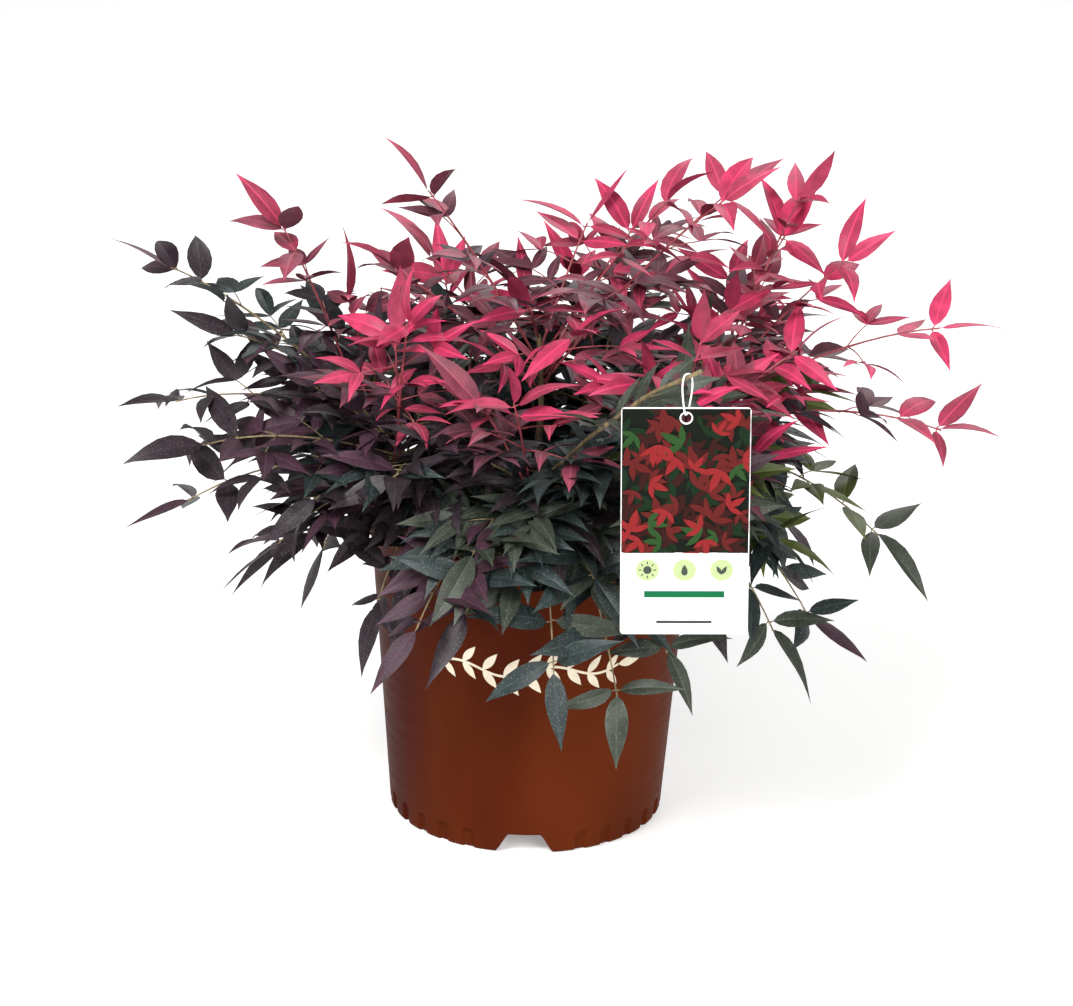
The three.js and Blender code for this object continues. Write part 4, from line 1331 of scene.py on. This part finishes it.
# %% [markdown]
# ## The label
# A plant label is a sheet of white polypropylene, printed in flat inks, with a hole for its loop. The
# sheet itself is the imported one. The print is generic: a panel of scattered leaves, a row of three care
# signs for sun, water and foliage, two bars and a dotted line to tear at. Each ink is a thin patch of
# mesh in front of the sheet, so its edges stay sharp and no picture is needed.

# %% Label print
INK_STEP = 0.06 * MM
label_middle = (tag_low + tag_high) / 2
label_right = vec(math.cos(TAG_LEAN), 0, -math.sin(TAG_LEAN))
label_up = vec(math.sin(TAG_LEAN), 0, math.cos(TAG_LEAN))
PANEL = (-TAG_SIZE[0] / 2 + 0.6 * MM, TAG_SIZE[0] / 2 - 0.6 * MM, -21 * MM, TAG_SIZE[1] / 2 - 0.8 * MM)
PANEL_SPRAYS = [
    ("ink_bottle_green", 40), ("ink_oxblood", 50), ("ink_bottle_green", 16), ("ink_brick", 34),
    ("ink_spring_green", 7), ("ink_scarlet", 17),
]
PANEL_TRIO = ((0, 1), (58, 0.8), (-58, 0.8))
PANEL_SLIM = 0.34
LEAF_LAYER = 0.04
PANEL_LEAF = 17 * MM
PANEL_SIZES = (0.6, 1)
HOLE_PLACE = (0, TAG_SIZE[1] / 2 - TAG_HOLE_DROP)
HOLE_EDGE_R = TAG_HOLE_R + 0.8 * MM
HOLE_SIDES = 48
SIGNS_Y = -33 * MM
SIGN_R = 7.5 * MM
SIGN_GAP = 24 * MM
SUN_R, RAY_FROM, RAY_TO, RAY_HALF = 0.36 * SIGN_R, 0.52 * SIGN_R, 0.76 * SIGN_R, 0.05 * SIGN_R
DROP_HALF, DROP_TALL = 0.36 * SIGN_R, 0.5 * SIGN_R
DOTS = 54
INKS = {
    "ink_leaf_green": "#0a1109", "ink_scarlet": "#7c1f20", "ink_brick": "#541816", "ink_oxblood": "#2c100d",
    "ink_spring_green": "#25431f", "ink_bottle_green": "#0f2312", "ink_pale_green": "#a8b784",
    "ink_grey": "#41453f", "ink_fir_green": "#11603c",
}
INK_NAMES = list(INKS)


def on_label(layer):
    """A wrap that puts flat points on the label's face, so many ink layers in front of it."""
    front = label_middle - vec(0, TAG_THICK / 2 + layer * INK_STEP, 0)
    return lambda points: front + np.outer(points[:, 0], label_right) + np.outer(points[:, 1], label_up)


def box_outline(left, right, low, high):
    """The corners of a box."""
    return np.array([[left, low], [right, low], [right, high], [left, high]])


def disc_outline(x, y, r, sides=32):
    """The outline of a disc."""
    turns = np.arange(sides) * 2 * math.pi / sides
    return np.stack([x + r * np.cos(turns), y + r * np.sin(turns)], axis=1)


def ink(heap, outline, name, layer):
    """Adds a flat patch of one ink."""
    heap.add(on_label(layer)(outline), [list(range(len(outline)))], INK_NAMES.index(name))


def round_hole(heap, panel, name, layer):
    """Adds a patch of one ink over a panel, except for the hole: a ring of quads out to the panel's edge."""
    left, right, low, high = panel
    corners = np.arctan2(*(box_outline(*panel) - HOLE_PLACE).T[::-1]) % (2 * math.pi)
    turns = np.sort([*(np.arange(HOLE_SIDES) * 2 * math.pi / HOLE_SIDES), *corners])
    rays = np.stack([np.cos(turns), np.sin(turns)], axis=1)
    room = np.where(rays > 0, np.array([right, high]) - HOLE_PLACE, np.array(HOLE_PLACE) - [left, low])
    edge = HOLE_PLACE + rays * (room / np.maximum(np.abs(rays), 1e-9)).min(1)[:, None]
    points = np.concatenate([HOLE_PLACE + HOLE_EDGE_R * rays, edge])
    count = len(turns)
    faces = [[i, count + i, count + (i + 1) % count, (i + 1) % count] for i in range(count)]
    heap.add(on_label(layer)(points), faces, INK_NAMES.index(name))


prints = Heap()
round_hole(prints, PANEL, "ink_leaf_green", 1)
draw = stream(11)
left, right, low, high = PANEL
layer = 2
for colour, spray_count in PANEL_SPRAYS:
    for i in range(spray_count):
        x, y = mix(left, right, (i + draw()) / spray_count), mix(low, high, draw())
        size, bearing = PANEL_LEAF * mix(*PANEL_SIZES, draw()), 360 * draw()
        for turn, share in PANEL_TRIO:
            leaf = leaf_outline(share * size, share * size * PANEL_SLIM)
            outline = np.clip(turned(leaf, bearing + turn, x, y), [left, low], [right, high])
            if np.hypot(*(outline - HOLE_PLACE).T).min() > HOLE_EDGE_R:
                layer += LEAF_LAYER
                leaf_patch(prints, outline, on_label(layer), INK_NAMES.index(colour))

for i in (-1, 0, 1):
    ink(prints, disc_outline(i * SIGN_GAP, SIGNS_Y, SIGN_R), "ink_pale_green", 1)
ink(prints, disc_outline(-SIGN_GAP, SIGNS_Y, SUN_R), "ink_grey", 2)
for ray in range(8):
    ray_shape = turned(box_outline(RAY_FROM, RAY_TO, -RAY_HALF, RAY_HALF), 45 * ray, 0, 0)
    ink(prints, ray_shape + [-SIGN_GAP, SIGNS_Y], "ink_grey", 2)
turns = np.linspace(0, 2 * math.pi, 28, endpoint=False)
drop_shape = np.stack([DROP_HALF * np.sin(turns) * np.sin(turns / 2), -DROP_TALL * np.cos(turns)], axis=1)
ink(prints, drop_shape[::-1] * [1, -1] + [0, SIGNS_Y], "ink_grey", 2)
for turn in (60, 120):
    sprout = turned(leaf_outline(0.9 * SIGN_R, 0.36 * SIGN_R), turn, SIGN_GAP, SIGNS_Y - 0.4 * SIGN_R)
    leaf_patch(prints, sprout, on_label(2), INK_NAMES.index("ink_grey"))
ink(prints, box_outline(-26 * MM, 26 * MM, -52 * MM, -47.5 * MM), "ink_fir_green", 1)
ink(prints, box_outline(-18 * MM, 18 * MM, -70 * MM, -68 * MM), "ink_grey", 1)
for dot in range(DOTS):
    ink(prints, disc_outline((dot - (DOTS - 1) / 2) * 1.5 * MM, -58.5 * MM, 0.28 * MM, 8), "ink_grey", 1)


# %% Label materials
INK_SPECULAR = 0.1


def flat_ink(name, colour):
    """Offset ink on plastic: even, with a slight grain of the printing screen."""
    tones = darker(colour, 0.9), darker(colour, 1.08)
    return uneven_finish(name, colour, *tones, 1.5 * MM, 0.55, detail=2.0, specular=INK_SPECULAR)


inks = [flat_ink(name, colour) for name, colour in INKS.items()]
keep(prints.make("label_print", inks, smooth=False), "label_plastic")
dress("label", flat_ink("white_polypropylene_sheet", "#f1f1ee"))

# %% Loop
heap = Heap()
path = []
for step in range(LOOP_STEPS):
    turn = step / LOOP_STEPS * 2 * math.pi
    rise = (1 + math.sin(turn)) / 2
    half = LOOP_HALF * math.copysign(abs(math.cos(turn)) ** 0.6, math.cos(turn))
    bearing = mix(LOOP_FOOT_TURN, labelled.way[0] + 90, smooth_step(rise))
    path.append(strand + polar(half, bearing, LOOP_HEIGHT * rise))
rings = rings_round(path + path[:2], [LOOP_R] * (LOOP_STEPS + 2), LOOP_SIDES)[:LOOP_STEPS]
heap.add(rings.reshape(-1, 3), ring_faces(LOOP_STEPS, LOOP_SIDES, closed=True))
keep(heap.make("loop_strand", [flat_ink("white_plastic_strand", "#f2f2f0")]), "loop_plastic", "label_loop")
